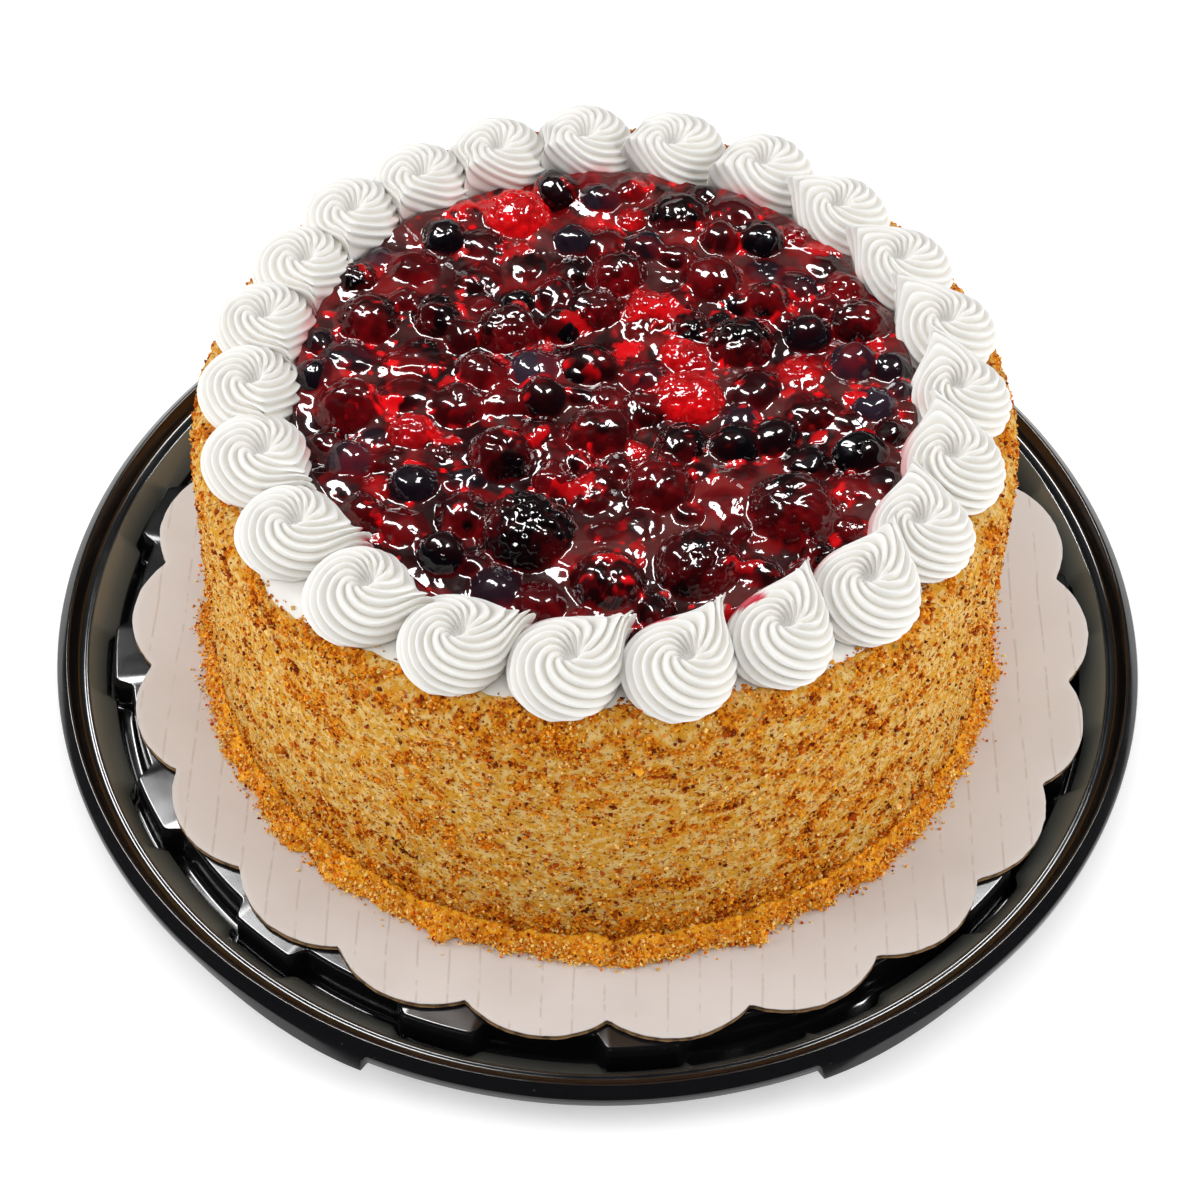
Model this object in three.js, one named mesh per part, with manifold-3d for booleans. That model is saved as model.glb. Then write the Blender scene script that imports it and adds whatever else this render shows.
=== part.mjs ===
// Berry cake: a round frosted cake with a coat of crumbs, a ring of piped swirls and a glazed
// berry topping, on a scalloped card in a shallow black plastic tray.
// Millimetres, +Z up. The origin is on the floor under the tray's centre, the front is at -Y,
// and angles are in degrees, counter-clockwise from +X as seen from above.
import * as THREE from "three";
import { mergeVertices } from "three/addons/utils/BufferGeometryUtils.js";
import Module from "manifold-3d";

// ---- driving dimensions ----

const gap = 0.3; // left between pieces that touch

const tray = {
  facets: 80, // five to each of the 16 castellations
  facetsPerCastellation: 5,
  ledgeFacets: 3, // of those five, the corners that stand inward
  firstLedge: 237.75, // angle of a ledge's first corner
  missingLedge: 287.25, // middle of the ledge left out at the front, where the lid unclips
  missingPad: 298.5,
  missingHalfSpan: 6,
  sheet: 1,
  platformTop: 12.2,
  platformRadius: 124,
  padReach: 4.3, // a pad of the platform's edge stands out this far opposite a notch
  platformLean: 0.6, // the platform's edge stands out this much more at its foot
  wallRadius: 128.5, // the moat's outer wall at a ledge
  wallLean: 0.2,
  notchReach: 2.3,
  ledgeTop: 6.1,
  grooveTop: 12.3,
  grooveInner: 134.9,
  grooveOuter: 137.6,
  rimPeak: 139.9,
  rimTop: 16.8,
  shoulderTop: 13.9,
  rimRadius: 143,
  lipBottom: 11.6,
  tabAngle: 270.5, // middle of the two finger tabs in the lip
  tabHalfSpan: 22.5,
  tabFade: 22,
  tabReach: 2.2,
  tabDrop: 1,
};

const card = {
  thickness: 2,
  lobes: 22,
  tipRadius: 127,
  cuspRadius: 121.2,
  firstCusp: 172.5,
  offset: 3.2, // the card lies this far towards +X
  stepsPerLobe: 6,
};

const cake = {
  height: 86.2,
  footRadius: 102,
  topRadius: 100.6,
  coatThickness: 1.6,
  coatTopBelowCake: 4.5,
  coatRows: [0.02, 0.34, 0.67, 0.93], // shares of the coat's height where its face turns
  grain: 0.5,
  shoulder: 6.5,
  shoulderFullness: 0.3,
  wallBreak: 20, // above the skirt, where the wall's facets turn
  wobble: 0.45, // hand-spread frosting is this far from round
  facets: 44,
};

const skirt = {
  height: 6.4,
  reach: 4.6, // past the wall of crumbs
  roughness: 1.1,
  settle: 1.2, // above 1, more crumbs lie in than out
  facets: 64,
};

const swirls = {
  count: 23,
  firstAngle: 186.3,
  ringRadius: 85,
  radius: 12.3,
  height: 11.6,
  eyeRadius: 2.7,
  flutes: 13,
  fluteDepth: 0.9,
  turn: 130, // degrees that a flute winds from the eye to the foot
  fluteFade: 6, // inside this radius the flutes die away towards the eye
  tailLength: 7.5,
  tailWidth: 24, // degrees
  tailInward: 14,
  tailRise: 0.25, // a tail climbs by this share of its reach
  tailOverlap: 3.6, // a tail reaches this far into its neighbour's side
  overlapOuter: 3, // the overlap starts this far outside the ring's middle
  overlapFade: 9, // and is full this much further in
  sizeSpread: 0.05,
  tailSpread: 16, // degrees
  placeSpread: 1.2,
};

// the spacing drifts round the ring as it was piped: [waves round the ring, degrees, phase]
const spacingDrift = [
  [1, 2.3, -100],
  [2, 2.1, -123],
];

const topping = {
  glazeDepth: 4.2,
  glazeRadius: 74.5, // between the swirls, where it runs furthest out
  berryReach: 71.4, // no berry goes past this
  outlineSteps: 84,
  smallBerries: 52,
  smallSize: [9.5, 13],
  smallFlatness: 0.8, // height over width
  leastBerry: 6,
  throws: 200, // places tried for each scattered berry
  sunk: 0.22, // of a berry's half height, below the glaze's level
  lobedFlatness: 0.4,
  lobeDepth: 0.12,
  smoothFlatness: 0.46,
  crown: 0.86, // a smooth berry's top is pulled in to this share
  seed: 7,
};

// The largest berries: a list of [angle, distance from the middle, diameter] for each kind.
const largestBerries = {
  bramble: [
    [250, 50, 25],
    [292, 59.5, 22],
    [319, 58.5, 24],
    [271, 61, 19],
    [292, 35, 19],
    [265, 16, 18],
    [25, 36, 18],
    [144, 30, 18],
    [55, 45, 17],
    [73, 62, 17],
    [188, 61.5, 18],
    [161, 61.5, 17],
    [223, 33, 17],
  ],
  raspberry: [
    [350, 20.5, 19],
    [112, 61.8, 19],
    [68, 28, 13],
    [200, 48.5, 13],
  ],
  blueberry: [
    [9, 61, 13],
    [21, 53, 13],
    [356, 65, 12],
    [342, 64, 14],
    [199, 15, 13],
    [100, 50, 12],
    [79, 48, 12],
    [130, 64, 13],
    [217, 55, 13],
    [236, 64.5, 13],
    [53, 64, 13],
    [204, 64.5, 12],
    [330, 36, 13],
    [92, 64.5, 11],
  ],
};

const color = {
  plastic: 0x08080a,
  card: 0xd5c9c1,
  frosting: 0xf1efe9,
  crumbs: 0xd9a04c,
  skirt: 0xcf8a2c,
  glaze: 0x4a0710,
  bramble: 0x1c0a10,
  raspberry: 0x9c0c16,
  blueberry: 0x1d1a2c,
};

// ---- helpers ----

const wasm = await Module();
wasm.setup();

const radians = THREE.MathUtils.degToRad;
const smooth = (value, low, high) => THREE.MathUtils.smoothstep(value, low, high);

// a repeatable draw of numbers from 0 to 1
function seededRandom(seed) {
  let state = seed;
  return () => {
    state = (state + 0x6d2b79f5) | 0;
    let mixed = Math.imul(state ^ (state >>> 15), 1 | state);
    mixed = (mixed + Math.imul(mixed ^ (mixed >>> 7), 61 | mixed)) ^ mixed;
    return ((mixed ^ (mixed >>> 14)) >>> 0) / 4294967296;
  };
}

// smallest difference between two angles, in degrees, from -180 to 180
function angleBetween(a, b) {
  return THREE.MathUtils.euclideanModulo(a - b + 180, 360) - 180;
}

function polar(radius, degrees, height) {
  return [radius * Math.cos(radians(degrees)), radius * Math.sin(radians(degrees)), height];
}

// A closed mesh with shared corners, no empty triangles and its faces pointing out.
function solid(geometry) {
  geometry.deleteAttribute("normal");
  geometry.deleteAttribute("uv");
  const merged = mergeVertices(geometry, 1e-3);
  const corner = merged.attributes.position;
  const index = merged.index.array;
  const kept = [];
  const a = new THREE.Vector3();
  const b = new THREE.Vector3();
  const c = new THREE.Vector3();
  let volume = 0;
  for (let i = 0; i < index.length; i += 3) {
    const [p, q, r] = [index[i], index[i + 1], index[i + 2]];
    if (p === q || q === r || r === p) continue;
    kept.push(p, q, r);
    a.fromBufferAttribute(corner, p);
    b.fromBufferAttribute(corner, q);
    c.fromBufferAttribute(corner, r);
    volume += a.dot(b.cross(c));
  }
  if (volume < 0) kept.reverse();
  merged.setIndex(kept);
  return merged;
}

// A profile of [radius, height] corners turned round Z, with each corner put where place() says.
function turned(profile, facets, place) {
  const corners = profile.map(([radius, height]) => new THREE.Vector2(radius, height));
  const geometry = new THREE.LatheGeometry(corners, facets);
  const position = geometry.attributes.position;
  const placed = [];
  for (let i = 0; i < position.count; i++) {
    const facet = Math.floor(i / profile.length);
    const corner = profile[i % profile.length];
    // the last facet's corners are the first one's again, which closes the turn
    const isSeam = facet === facets;
    placed.push(isSeam ? placed[i % profile.length] : place(corner, (360 * facet) / facets, facet));
    position.setXYZ(i, ...placed[i]);
  }
  return solid(geometry);
}

function toManifold(geometry) {
  const mesh = new wasm.Mesh({
    numProp: 3,
    vertProperties: new Float32Array(geometry.attributes.position.array),
    triVerts: new Uint32Array(geometry.index.array),
  });
  return new wasm.Manifold(mesh);
}

function fromManifold(manifold) {
  const mesh = manifold.getMesh();
  const geometry = new THREE.BufferGeometry();
  geometry.setAttribute("position", new THREE.BufferAttribute(mesh.vertProperties, 3));
  geometry.setIndex(new THREE.BufferAttribute(mesh.triVerts, 1));
  return geometry;
}

function piece(name, geometry, hex, roughness) {
  const material = new THREE.MeshStandardMaterial({ color: hex, roughness, metalness: 0 });
  const mesh = new THREE.Mesh(geometry, material);
  mesh.name = name;
  return mesh;
}

// ---- tray ----

// One thermoformed sheet: a platform, a castellated moat that it stands on, and a grooved rim.
function trayGeometry() {
  const t = tray;
  const floor = t.sheet;
  const under = t.platformTop - t.sheet;
  const grooveUnder = t.grooveTop - t.sheet;
  // each corner is [radius, height, reach of the castellation there, which castellation]
  const profile = [
    [0, t.platformTop],
    [t.platformRadius, t.platformTop, t.padReach, "pad"],
    [t.platformRadius + t.platformLean, floor, t.padReach, "pad"],
    [t.wallRadius - t.wallLean, floor, t.notchReach, "notch"],
    [t.wallRadius, t.ledgeTop, t.notchReach, "notch"],
    [t.grooveInner, t.grooveTop],
    [t.grooveOuter, t.grooveTop],
    [t.rimPeak, t.rimTop],
    [t.rimRadius, t.shoulderTop],
    [t.rimRadius, t.lipBottom, 0, "lip"],
    [t.rimRadius - t.sheet, t.lipBottom, 0, "lip"],
    [t.rimPeak + t.sheet / 3, t.rimTop - 1.6 * t.sheet],
    [t.grooveOuter + t.sheet / 2, grooveUnder],
    [t.grooveInner + t.sheet / 2, grooveUnder],
    [t.wallRadius + t.sheet, t.ledgeTop - t.sheet / 2, t.notchReach, "notch"],
    [t.wallRadius + t.sheet - t.wallLean, 0, t.notchReach, "notch"],
    [t.platformRadius + t.platformLean - t.sheet, 0, t.padReach, "pad"],
    [t.platformRadius - t.sheet, under, t.padReach, "pad"],
    [0, under],
  ];
  return turned(profile, t.facets, ([radius, height, reach = 0, part], turn, facet) => {
    const angle = t.firstLedge + turn;
    const isLedge = facet % t.facetsPerCastellation < t.ledgeFacets;
    const ledgeLeftOut = Math.abs(angleBetween(angle, t.missingLedge)) < t.missingHalfSpan;
    const padLeftOut = Math.abs(angleBetween(angle, t.missingPad)) < t.missingHalfSpan;
    let out = 0;
    if (part === "notch" && (!isLedge || ledgeLeftOut)) out = reach;
    if (part === "pad" && !isLedge && !padLeftOut) out = reach;
    const tab = part === "lip" ? tabShape(angle) : 0;
    return polar(radius + out + tab * t.tabReach, angle, height - tab * t.tabDrop);
  });
}

// 1 at the steep end of a finger tab, fading to 0 away from the front's middle
function tabShape(angle) {
  const beyond = Math.abs(angleBetween(angle, tray.tabAngle)) - tray.tabHalfSpan;
  return beyond < 0 ? 0 : smooth(tray.tabFade - beyond, 0, tray.tabFade);
}

// ---- scalloped card ----

const cardBottom = tray.platformTop + gap;
const cardTop = cardBottom + card.thickness;

function cardGeometry() {
  const step = 360 / card.lobes;
  const halfChord = card.cuspRadius * Math.sin(radians(step / 2));
  const bulge = card.tipRadius - card.cuspRadius * Math.cos(radians(step / 2));
  const lobeRadius = (halfChord ** 2 + bulge ** 2) / (2 * bulge);
  const halfArc = Math.asin(halfChord / lobeRadius);
  const shape = new THREE.Shape();
  for (let lobe = 0; lobe < card.lobes; lobe++) {
    const middle = card.firstCusp + step * (lobe + 0.5);
    const [x, y] = polar(card.tipRadius - lobeRadius, middle);
    shape.absarc(x, y, lobeRadius, radians(middle) - halfArc, radians(middle) + halfArc);
  }
  const settings = {
    depth: card.thickness,
    bevelEnabled: false,
    curveSegments: card.stepsPerLobe / 2,
  };
  const geometry = new THREE.ExtrudeGeometry(shape, settings);
  geometry.translate(card.offset, 0, cardBottom);
  return solid(geometry);
}

// ---- cake ----

const cakeBottom = cardTop + gap;
const cakeTop = cakeBottom + cake.height;
const skirtTop = cakeBottom + skirt.height;
const coatTop = cakeTop - cake.coatTopBelowCake;

// outer radius of the crumb-coated wall at a height
function wallRadius(height) {
  const share = (height - cakeBottom) / cake.height;
  return THREE.MathUtils.lerp(cake.footRadius, cake.topRadius, share);
}

function spreadWobble(angle, height) {
  const slow = Math.sin(radians(3 * angle + 1.1 * height));
  const quick = Math.sin(radians(7 * angle - 2.3 * height + 40));
  return cake.wobble * (0.65 * slow + 0.35 * quick);
}

function frostedRadius(height) {
  return wallRadius(height) - cake.coatThickness;
}

function cakeGeometry() {
  const rimHeight = cakeTop - cake.shoulder;
  const edge = frostedRadius(cakeTop);
  const profile = [
    [0, cakeBottom],
    [frostedRadius(cakeBottom), cakeBottom],
    [frostedRadius(skirtTop + cake.wallBreak), skirtTop + cake.wallBreak],
    [frostedRadius(rimHeight), rimHeight],
    [edge - cake.shoulderFullness * cake.shoulder, cakeTop - cake.shoulderFullness * cake.shoulder],
    [edge - cake.shoulder, cakeTop],
    [0, cakeTop],
  ];
  return turned(profile, cake.facets, ([radius, height], angle) => {
    const out = height < cakeTop && radius > 0 ? spreadWobble(angle, height) : 0;
    return polar(radius + out, angle, height);
  });
}

// The coat of crumbs on the wall, a thin ring with a grainy face.
function crumbCoatGeometry() {
  const random = seededRandom(11);
  const bottom = skirtTop + gap;
  const heights = cake.coatRows.map((share) => THREE.MathUtils.lerp(bottom, coatTop, share));
  const inner = (height) => [frostedRadius(height) + gap, height];
  const profile = [
    inner(bottom),
    ...heights.map((height) => [wallRadius(height), height, "grainy"]),
    inner(coatTop),
    inner((bottom + coatTop) / 2),
    inner(bottom),
  ];
  return turned(profile, cake.facets, ([radius, height, face], angle) => {
    const grain = face ? (random() - 0.5) * cake.grain : 0;
    return polar(radius + spreadWobble(angle, height) + grain, angle, height);
  });
}

// Loose crumbs heaped along the foot of the wall, with an uneven outline.
function crumbSkirtGeometry() {
  const random = seededRandom(23);
  const inner = (height) => [frostedRadius(height) + gap, height, 0];
  const foot = wallRadius(cakeBottom) + skirt.reach;
  const profile = [
    inner(cakeBottom),
    [foot, cakeBottom, 1],
    [foot - 0.8, cakeBottom + 0.35 * skirt.height, 1],
    [wallRadius(skirtTop) + 0.9, skirtTop - 0.1 * skirt.height, 0.5],
    inner(skirtTop),
    inner(cakeBottom),
  ];
  return turned(profile, skirt.facets, ([radius, height, rough], angle) => {
    const wavy = spreadWobble(angle, height);
    const loose = rough * skirt.roughness * (2 * random() - skirt.settle);
    return polar(radius + wavy + loose, angle, height);
  });
}

// ---- piped swirls ----

const swirlBottom = cakeTop + gap;

function swirlAngle(index) {
  const around = (360 * index) / swirls.count;
  const drift = spacingDrift.reduce((sum, [waves, degrees, phase]) => {
    return sum + degrees * Math.sin(radians(waves * around + phase));
  }, 0);
  return swirls.firstAngle + around + drift;
}

// Swirls meet along a line that bends, as each tail laps over the inner side of the next.
function meetingAngle(index, radius) {
  const middle = (swirlAngle(index) + swirlAngle(index + 1)) / 2;
  const inside = swirls.ringRadius + swirls.overlapOuter - radius;
  const inward = smooth(inside, 0, swirls.overlapFade);
  return middle + THREE.MathUtils.radToDeg((swirls.tailOverlap * inward) / radius);
}

// A fluted dome whose ridges wind out of a hollow eye and gather in a pointed tail.
function swirlGeometry(index) {
  const s = swirls;
  const random = seededRandom(100 + index);
  const size = 1 + s.sizeSpread * (random() - 0.5);
  const first = 360 * random();
  const tailDirection = s.tailInward + s.tailSpread * (random() - 0.5);
  const distance = s.ringRadius + s.placeSpread * (random() - 0.5);
  const angle = swirlAngle(index);
  // each corner is [radius, height, share of the turn, share of the tail]
  const profile = [
    [0, 0.9 * s.height, 0, 0],
    [s.eyeRadius, s.height, 0, 0],
    [0.62 * s.radius, 0.85 * s.height, 0.35, 0.25],
    [0.99 * s.radius, 0.4 * s.height, 0.75, 0.9],
    [0.9 * s.radius, 0, 1, 0.5],
    [0, 0, 1, 0],
  ];
  return turned(profile, 2 * s.flutes, ([radius, height, turn, tail], degrees, facet) => {
    const direction = degrees + first + turn * s.turn;
    const ridge = facet % 2 ? -0.5 : 0.5;
    const flute = ridge * s.fluteDepth * Math.min(1, radius / s.fluteFade);
    const aside = angleBetween(direction, tailDirection) / s.tailWidth;
    const reach = tail * s.tailLength * Math.exp(-aside * aside);
    const out = (radius + flute) * size + reach;
    // along the ring counter-clockwise, and towards the cake's middle
    const along = out * Math.cos(radians(direction));
    const inward = out * Math.sin(radians(direction));
    const raised = height + (height > 0 ? flute + s.tailRise * reach : 0);
    const x = distance - inward;
    return fitBetweenNeighbours(x, along, raised, index, angle);
  });
}

function fitBetweenNeighbours(x, along, height, index, angle) {
  const radius = Math.hypot(x, along);
  const margin = THREE.MathUtils.radToDeg((1.2 * gap) / radius);
  const direction = angle + THREE.MathUtils.radToDeg(Math.atan2(along, x));
  const low = meetingAngle(index - 1, radius) + margin;
  const high = meetingAngle(index, radius) - margin;
  return polar(radius, THREE.MathUtils.clamp(direction, low, high), swirlBottom + height);
}

// ---- berry topping ----

const glazeBottom = cakeTop + gap;
const glazeTop = glazeBottom + topping.glazeDepth;

// How far out the glaze runs at an angle: up to the swirls' sides, and a little between them.
function glazeReach(angle) {
  const keepOff = swirls.radius + swirls.fluteDepth + 3 * gap;
  let reach = topping.glazeRadius;
  for (let index = 0; index < swirls.count; index++) {
    const aside = radians(angleBetween(angle, swirlAngle(index)));
    const offset = swirls.ringRadius * Math.sin(aside);
    if (Math.cos(aside) < 0 || Math.abs(offset) >= keepOff) continue;
    const hit = swirls.ringRadius * Math.cos(aside) - Math.sqrt(keepOff ** 2 - offset ** 2);
    reach = Math.min(reach, hit);
  }
  return reach;
}

// Adds count berries to those taken, each at the most open of some places thrown at random.
function scatterBerries(count, [smallest, largest], taken, random) {
  const placed = [];
  for (let index = 0; index < count; index++) {
    const size = THREE.MathUtils.lerp(smallest, largest, random());
    let best = { room: -Infinity };
    for (let tries = 0; tries < topping.throws; tries++) {
      const angle = 360 * random();
      const distance = (topping.berryReach - size / 2) * Math.sqrt(random());
      const [x, y] = polar(distance, angle);
      const rooms = [...taken, ...placed].map((other) => {
        return Math.hypot(x - other.x, y - other.y) - (size + other.size) / 2;
      });
      const room = Math.min(...rooms);
      if (room > best.room) best = { x, y, size, angle, room };
    }
    placed.push(best);
  }
  return placed;
}

function layOutBerries() {
  const random = seededRandom(topping.seed);
  const separate = Object.entries(largestBerries).flatMap(([kind, rows]) => {
    return rows.map(([angle, distance, size], row) => {
      const [x, y] = polar(distance, angle);
      return { kind, x, y, size, name: `${kind}_${String(row + 1).padStart(2, "0")}` };
    });
  });
  const small = scatterBerries(topping.smallBerries, topping.smallSize, separate, random);
  // a fused berry that would reach a separate one shrinks until it is clear of it
  for (const berry of small) {
    const nearest = separate.map((other) => {
      return Math.hypot(berry.x - other.x, berry.y - other.y) - other.size / 2;
    });
    berry.size = Math.min(berry.size, 2 * (Math.min(...nearest) - gap));
  }
  return { separate, small: small.filter((berry) => berry.size > topping.leastBerry) };
}

// A many-lobed berry: a faceted ball whose corners stand out and in, flattened where it lies.
function lobedBerry(berry, index) {
  const random = seededRandom(300 + index);
  const geometry = new THREE.IcosahedronGeometry(1, 1);
  return rounded(geometry, berry, topping.lobedFlatness, () => 1 - topping.lobeDepth * random());
}

// A smooth round berry with a sunken crown on top.
function smoothBerry(berry) {
  const geometry = new THREE.SphereGeometry(1, 7, 5);
  geometry.rotateX(Math.PI / 2);
  const shape = (up) => (up > 0.99 ? topping.crown : 1);
  return rounded(geometry, berry, topping.smoothFlatness, shape);
}

// Sizes a unit ball to a berry half sunk in the glaze, scaled at each corner by shape().
function rounded(ball, berry, flatness, shape) {
  const geometry = solid(ball);
  const position = geometry.attributes.position;
  const floor = glazeTop + gap;
  const halfHeight = flatness * berry.size;
  for (let i = 0; i < position.count; i++) {
    const share = shape(position.getZ(i));
    const x = berry.x + position.getX(i) * share * (berry.size / 2);
    const y = berry.y + position.getY(i) * share * (berry.size / 2);
    const z = floor + (position.getZ(i) * share - topping.sunk) * halfHeight;
    position.setXYZ(i, x, y, Math.max(z, floor));
  }
  return solid(geometry);
}

// The glaze up to its level, with the small berries standing out of it.
function glazeGeometry(smallBerries) {
  const outline = new THREE.Shape();
  for (let step = 0; step < topping.outlineSteps; step++) {
    const angle = (360 * step) / topping.outlineSteps;
    const [x, y] = polar(glazeReach(angle), angle);
    if (step === 0) outline.moveTo(x, y);
    else outline.lineTo(x, y);
  }
  const settings = { depth: topping.glazeDepth, bevelEnabled: false };
  const pool = new THREE.ExtrudeGeometry(outline, settings);
  pool.translate(0, 0, glazeBottom);
  let heap = toManifold(solid(pool));
  for (const berry of smallBerries) {
    const ball = new THREE.SphereGeometry(berry.size / 2, 7, 4);
    ball.rotateX(Math.PI / 2);
    ball.scale(1, 1, topping.smallFlatness);
    ball.rotateZ(radians(berry.angle));
    // its middle is level with the glaze, or higher where its foot would pass the glaze's bottom
    const halfHeight = (topping.smallFlatness * berry.size) / 2;
    ball.translate(berry.x, berry.y, Math.max(glazeTop, glazeBottom + halfHeight));
    heap = heap.add(toManifold(solid(ball)));
  }
  return fromManifold(heap);
}

// ---- assembly ----

const group = new THREE.Group();

const base = new THREE.Group();
base.add(piece("tray", trayGeometry(), color.plastic, 0.2));
base.add(piece("scalloped_card", cardGeometry(), color.card, 0.9));
group.add(base);

const body = new THREE.Group();
body.add(piece("cake_body", cakeGeometry(), color.frosting, 0.6));
body.add(piece("crumb_coat", crumbCoatGeometry(), color.crumbs, 0.9));
body.add(piece("crumb_skirt", crumbSkirtGeometry(), color.skirt, 0.9));
group.add(body);

const ring = new THREE.Group();
for (let index = 0; index < swirls.count; index++) {
  const name = `swirl_${String(index + 1).padStart(2, "0")}`;
  ring.add(piece(name, swirlGeometry(index), color.frosting, 0.5));
}
group.add(ring);

const berries = new THREE.Group();
const layout = layOutBerries();
berries.add(piece("berry_glaze", glazeGeometry(layout.small), color.glaze, 0.1));
layout.separate.forEach((berry, index) => {
  const isSmooth = berry.kind === "blueberry";
  const geometry = isSmooth ? smoothBerry(berry) : lobedBerry(berry, index);
  berries.add(piece(berry.name, geometry, color[berry.kind], 0.2));
});
group.add(berries);

export default group;
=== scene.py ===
import itertools
import math
import bpy
import numpy as np
from mathutils import Matrix, Vector


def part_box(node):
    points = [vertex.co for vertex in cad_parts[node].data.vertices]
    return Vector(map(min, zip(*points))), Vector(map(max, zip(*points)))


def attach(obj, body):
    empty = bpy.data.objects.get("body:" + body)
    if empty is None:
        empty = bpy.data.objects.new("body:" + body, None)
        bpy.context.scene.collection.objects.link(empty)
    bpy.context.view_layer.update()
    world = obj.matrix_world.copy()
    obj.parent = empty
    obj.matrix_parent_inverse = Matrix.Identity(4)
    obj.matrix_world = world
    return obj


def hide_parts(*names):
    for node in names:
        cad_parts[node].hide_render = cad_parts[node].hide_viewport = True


# A berry cake on its scalloped card and black tray. Lengths are in millimetres until a mesh is
# written, angles in degrees counter-clockwise from +X seen from above, and the front is at -Y.
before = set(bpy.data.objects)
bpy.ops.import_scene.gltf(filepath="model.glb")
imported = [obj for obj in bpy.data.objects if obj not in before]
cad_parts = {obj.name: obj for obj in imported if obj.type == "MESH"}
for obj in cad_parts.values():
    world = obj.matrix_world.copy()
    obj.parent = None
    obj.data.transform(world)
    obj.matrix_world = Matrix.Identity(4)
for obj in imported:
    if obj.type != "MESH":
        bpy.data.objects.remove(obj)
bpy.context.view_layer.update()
metresPerMm = 0.001


# arrays and meshes

def smoothStep(value, low, high):
    # 3t^2 - 2t^3, with t going from 0 at low to 1 at high
    t = np.clip((value - low) / (high - low), 0, 1)
    return t * t * (3 - 2 * t)


def cellValue(cells, seed):
    # a repeatable number from 0 to 1 for each cell of whole-number coordinates, by mixing their bits
    x, y, z = (cells[..., axis].astype(np.int64).astype(np.uint32) for axis in range(3))
    mixed = x * np.uint32(374761393) + y * np.uint32(668265263) + z * np.uint32(2246822519)
    mixed = mixed + np.uint32(seed * 3266489917 % 4294967296)
    mixed = (mixed ^ (mixed >> np.uint32(13))) * np.uint32(1274126177)
    mixed = (mixed ^ (mixed >> np.uint32(16))) * np.uint32(2654435761)
    return (mixed ^ (mixed >> np.uint32(15))) / 4294967295.0


def softNoise(points, size, seed=0):
    # from -1 to 1: the values of the 8 cells' corners round a point, blended by 3t^2 - 2t^3
    scaled = points / size
    corner = np.floor(scaled)
    t = scaled - corner
    t = t * t * (3 - 2 * t)
    total = np.zeros(points.shape[:-1])
    for offset in itertools.product((0, 1), repeat=3):
        weight = np.prod(np.where(np.array(offset) == 1, t, 1 - t), axis=-1)
        total += weight * cellValue(corner + np.array(offset), seed)
    return 2 * total - 1


def layeredNoise(points, size, layers=3, seed=0):
    # soft noise plus finer layers of it, each half the size and half the strength of the last
    total = np.zeros(points.shape[:-1])
    for layer in range(layers):
        total += softNoise(points, size / 2 ** layer, seed + layer) / 2 ** layer
    return total


def smoothCurve(knots, count):
    # a curve through the knots (Catmull-Rom), count points spaced evenly by knot number
    knots = np.asarray(knots, float)
    padded = np.vstack([2 * knots[0] - knots[1], knots, 2 * knots[-1] - knots[-2]])
    place = np.linspace(0, len(knots) - 1, count)
    start = np.minimum(place.astype(int), len(knots) - 2)
    t = (place - start)[:, None]
    a, b, c, d = (padded[start + step] for step in range(4))
    return 0.5 * (2 * b + (c - a) * t + (2 * a - 5 * b + 4 * c - d) * t ** 2
                  + (3 * b - a - 3 * c + d) * t ** 3)


def polar(radius, degrees, height):
    # points from a radius, an angle about the cake's axis and a height
    turn = np.radians(degrees)
    return np.stack(np.broadcast_arrays(radius * np.cos(turn), radius * np.sin(turn), height), -1)


def columnAngles(count):
    # angles spaced evenly all round, as one row
    return (np.arange(count) * 360 / count)[None]


def twoEach(a, b, c, d):
    # two triangles for each four corners, given in order round a cell
    return np.concatenate([np.stack(corners, -1).reshape(-1, 3) for corners in ([a, b, c], [a, c, d])])


def gridTriangles(rows, columns, closeRows=False):
    # the triangles of a grid whose columns close round, and its rows too if asked
    index = np.arange(rows * columns).reshape(rows, columns)
    after = np.roll(index, -1, axis=1)
    if closeRows:
        return twoEach(index, after, np.roll(after, -1, axis=0), np.roll(index, -1, axis=0))
    return twoEach(index[:-1], after[:-1], after[1:], index[1:])


def facingOut(points, triangles):
    # turned over if the volume, a third of the sum of a . (b x c), comes out negative
    a, b, c = (points[triangles[:, corner]] for corner in range(3))
    return triangles if np.einsum("ij,ij->", a, np.cross(b, c)) > 0 else triangles[:, ::-1]


def closedShell(grid, firstPole=None, lastPole=None):
    # a grid of rows that close round, shut by a fan to a pole at either end, or into a ring
    rows, columns = grid.shape[:2]
    points = [grid.reshape(-1, 3)]
    index = np.arange(rows * columns).reshape(rows, columns)
    triangles = [gridTriangles(rows, columns, closeRows=firstPole is None)]
    for pole, row, flip in ((firstPole, index[0], True), (lastPole, index[-1], False)):
        if pole is None:
            continue
        number = sum(len(part) for part in points)
        points.append(np.asarray(pole, float).reshape(1, 3))
        fan = np.stack([row, np.roll(row, -1), np.full_like(row, number)], -1)
        triangles.append(fan[:, ::-1] if flip else fan)
    points, triangles = np.concatenate(points), np.concatenate(triangles)
    return points, facingOut(points, triangles)


def joined(parts):
    # several (points, triangles) as one, with the later triangles' numbers moved on
    starts = np.cumsum([0] + [len(points) for points, _ in parts[:-1]])
    triangles = [part[1] + start for part, start in zip(parts, starts)]
    return np.concatenate([points for points, _ in parts]), np.concatenate(triangles)


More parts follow.
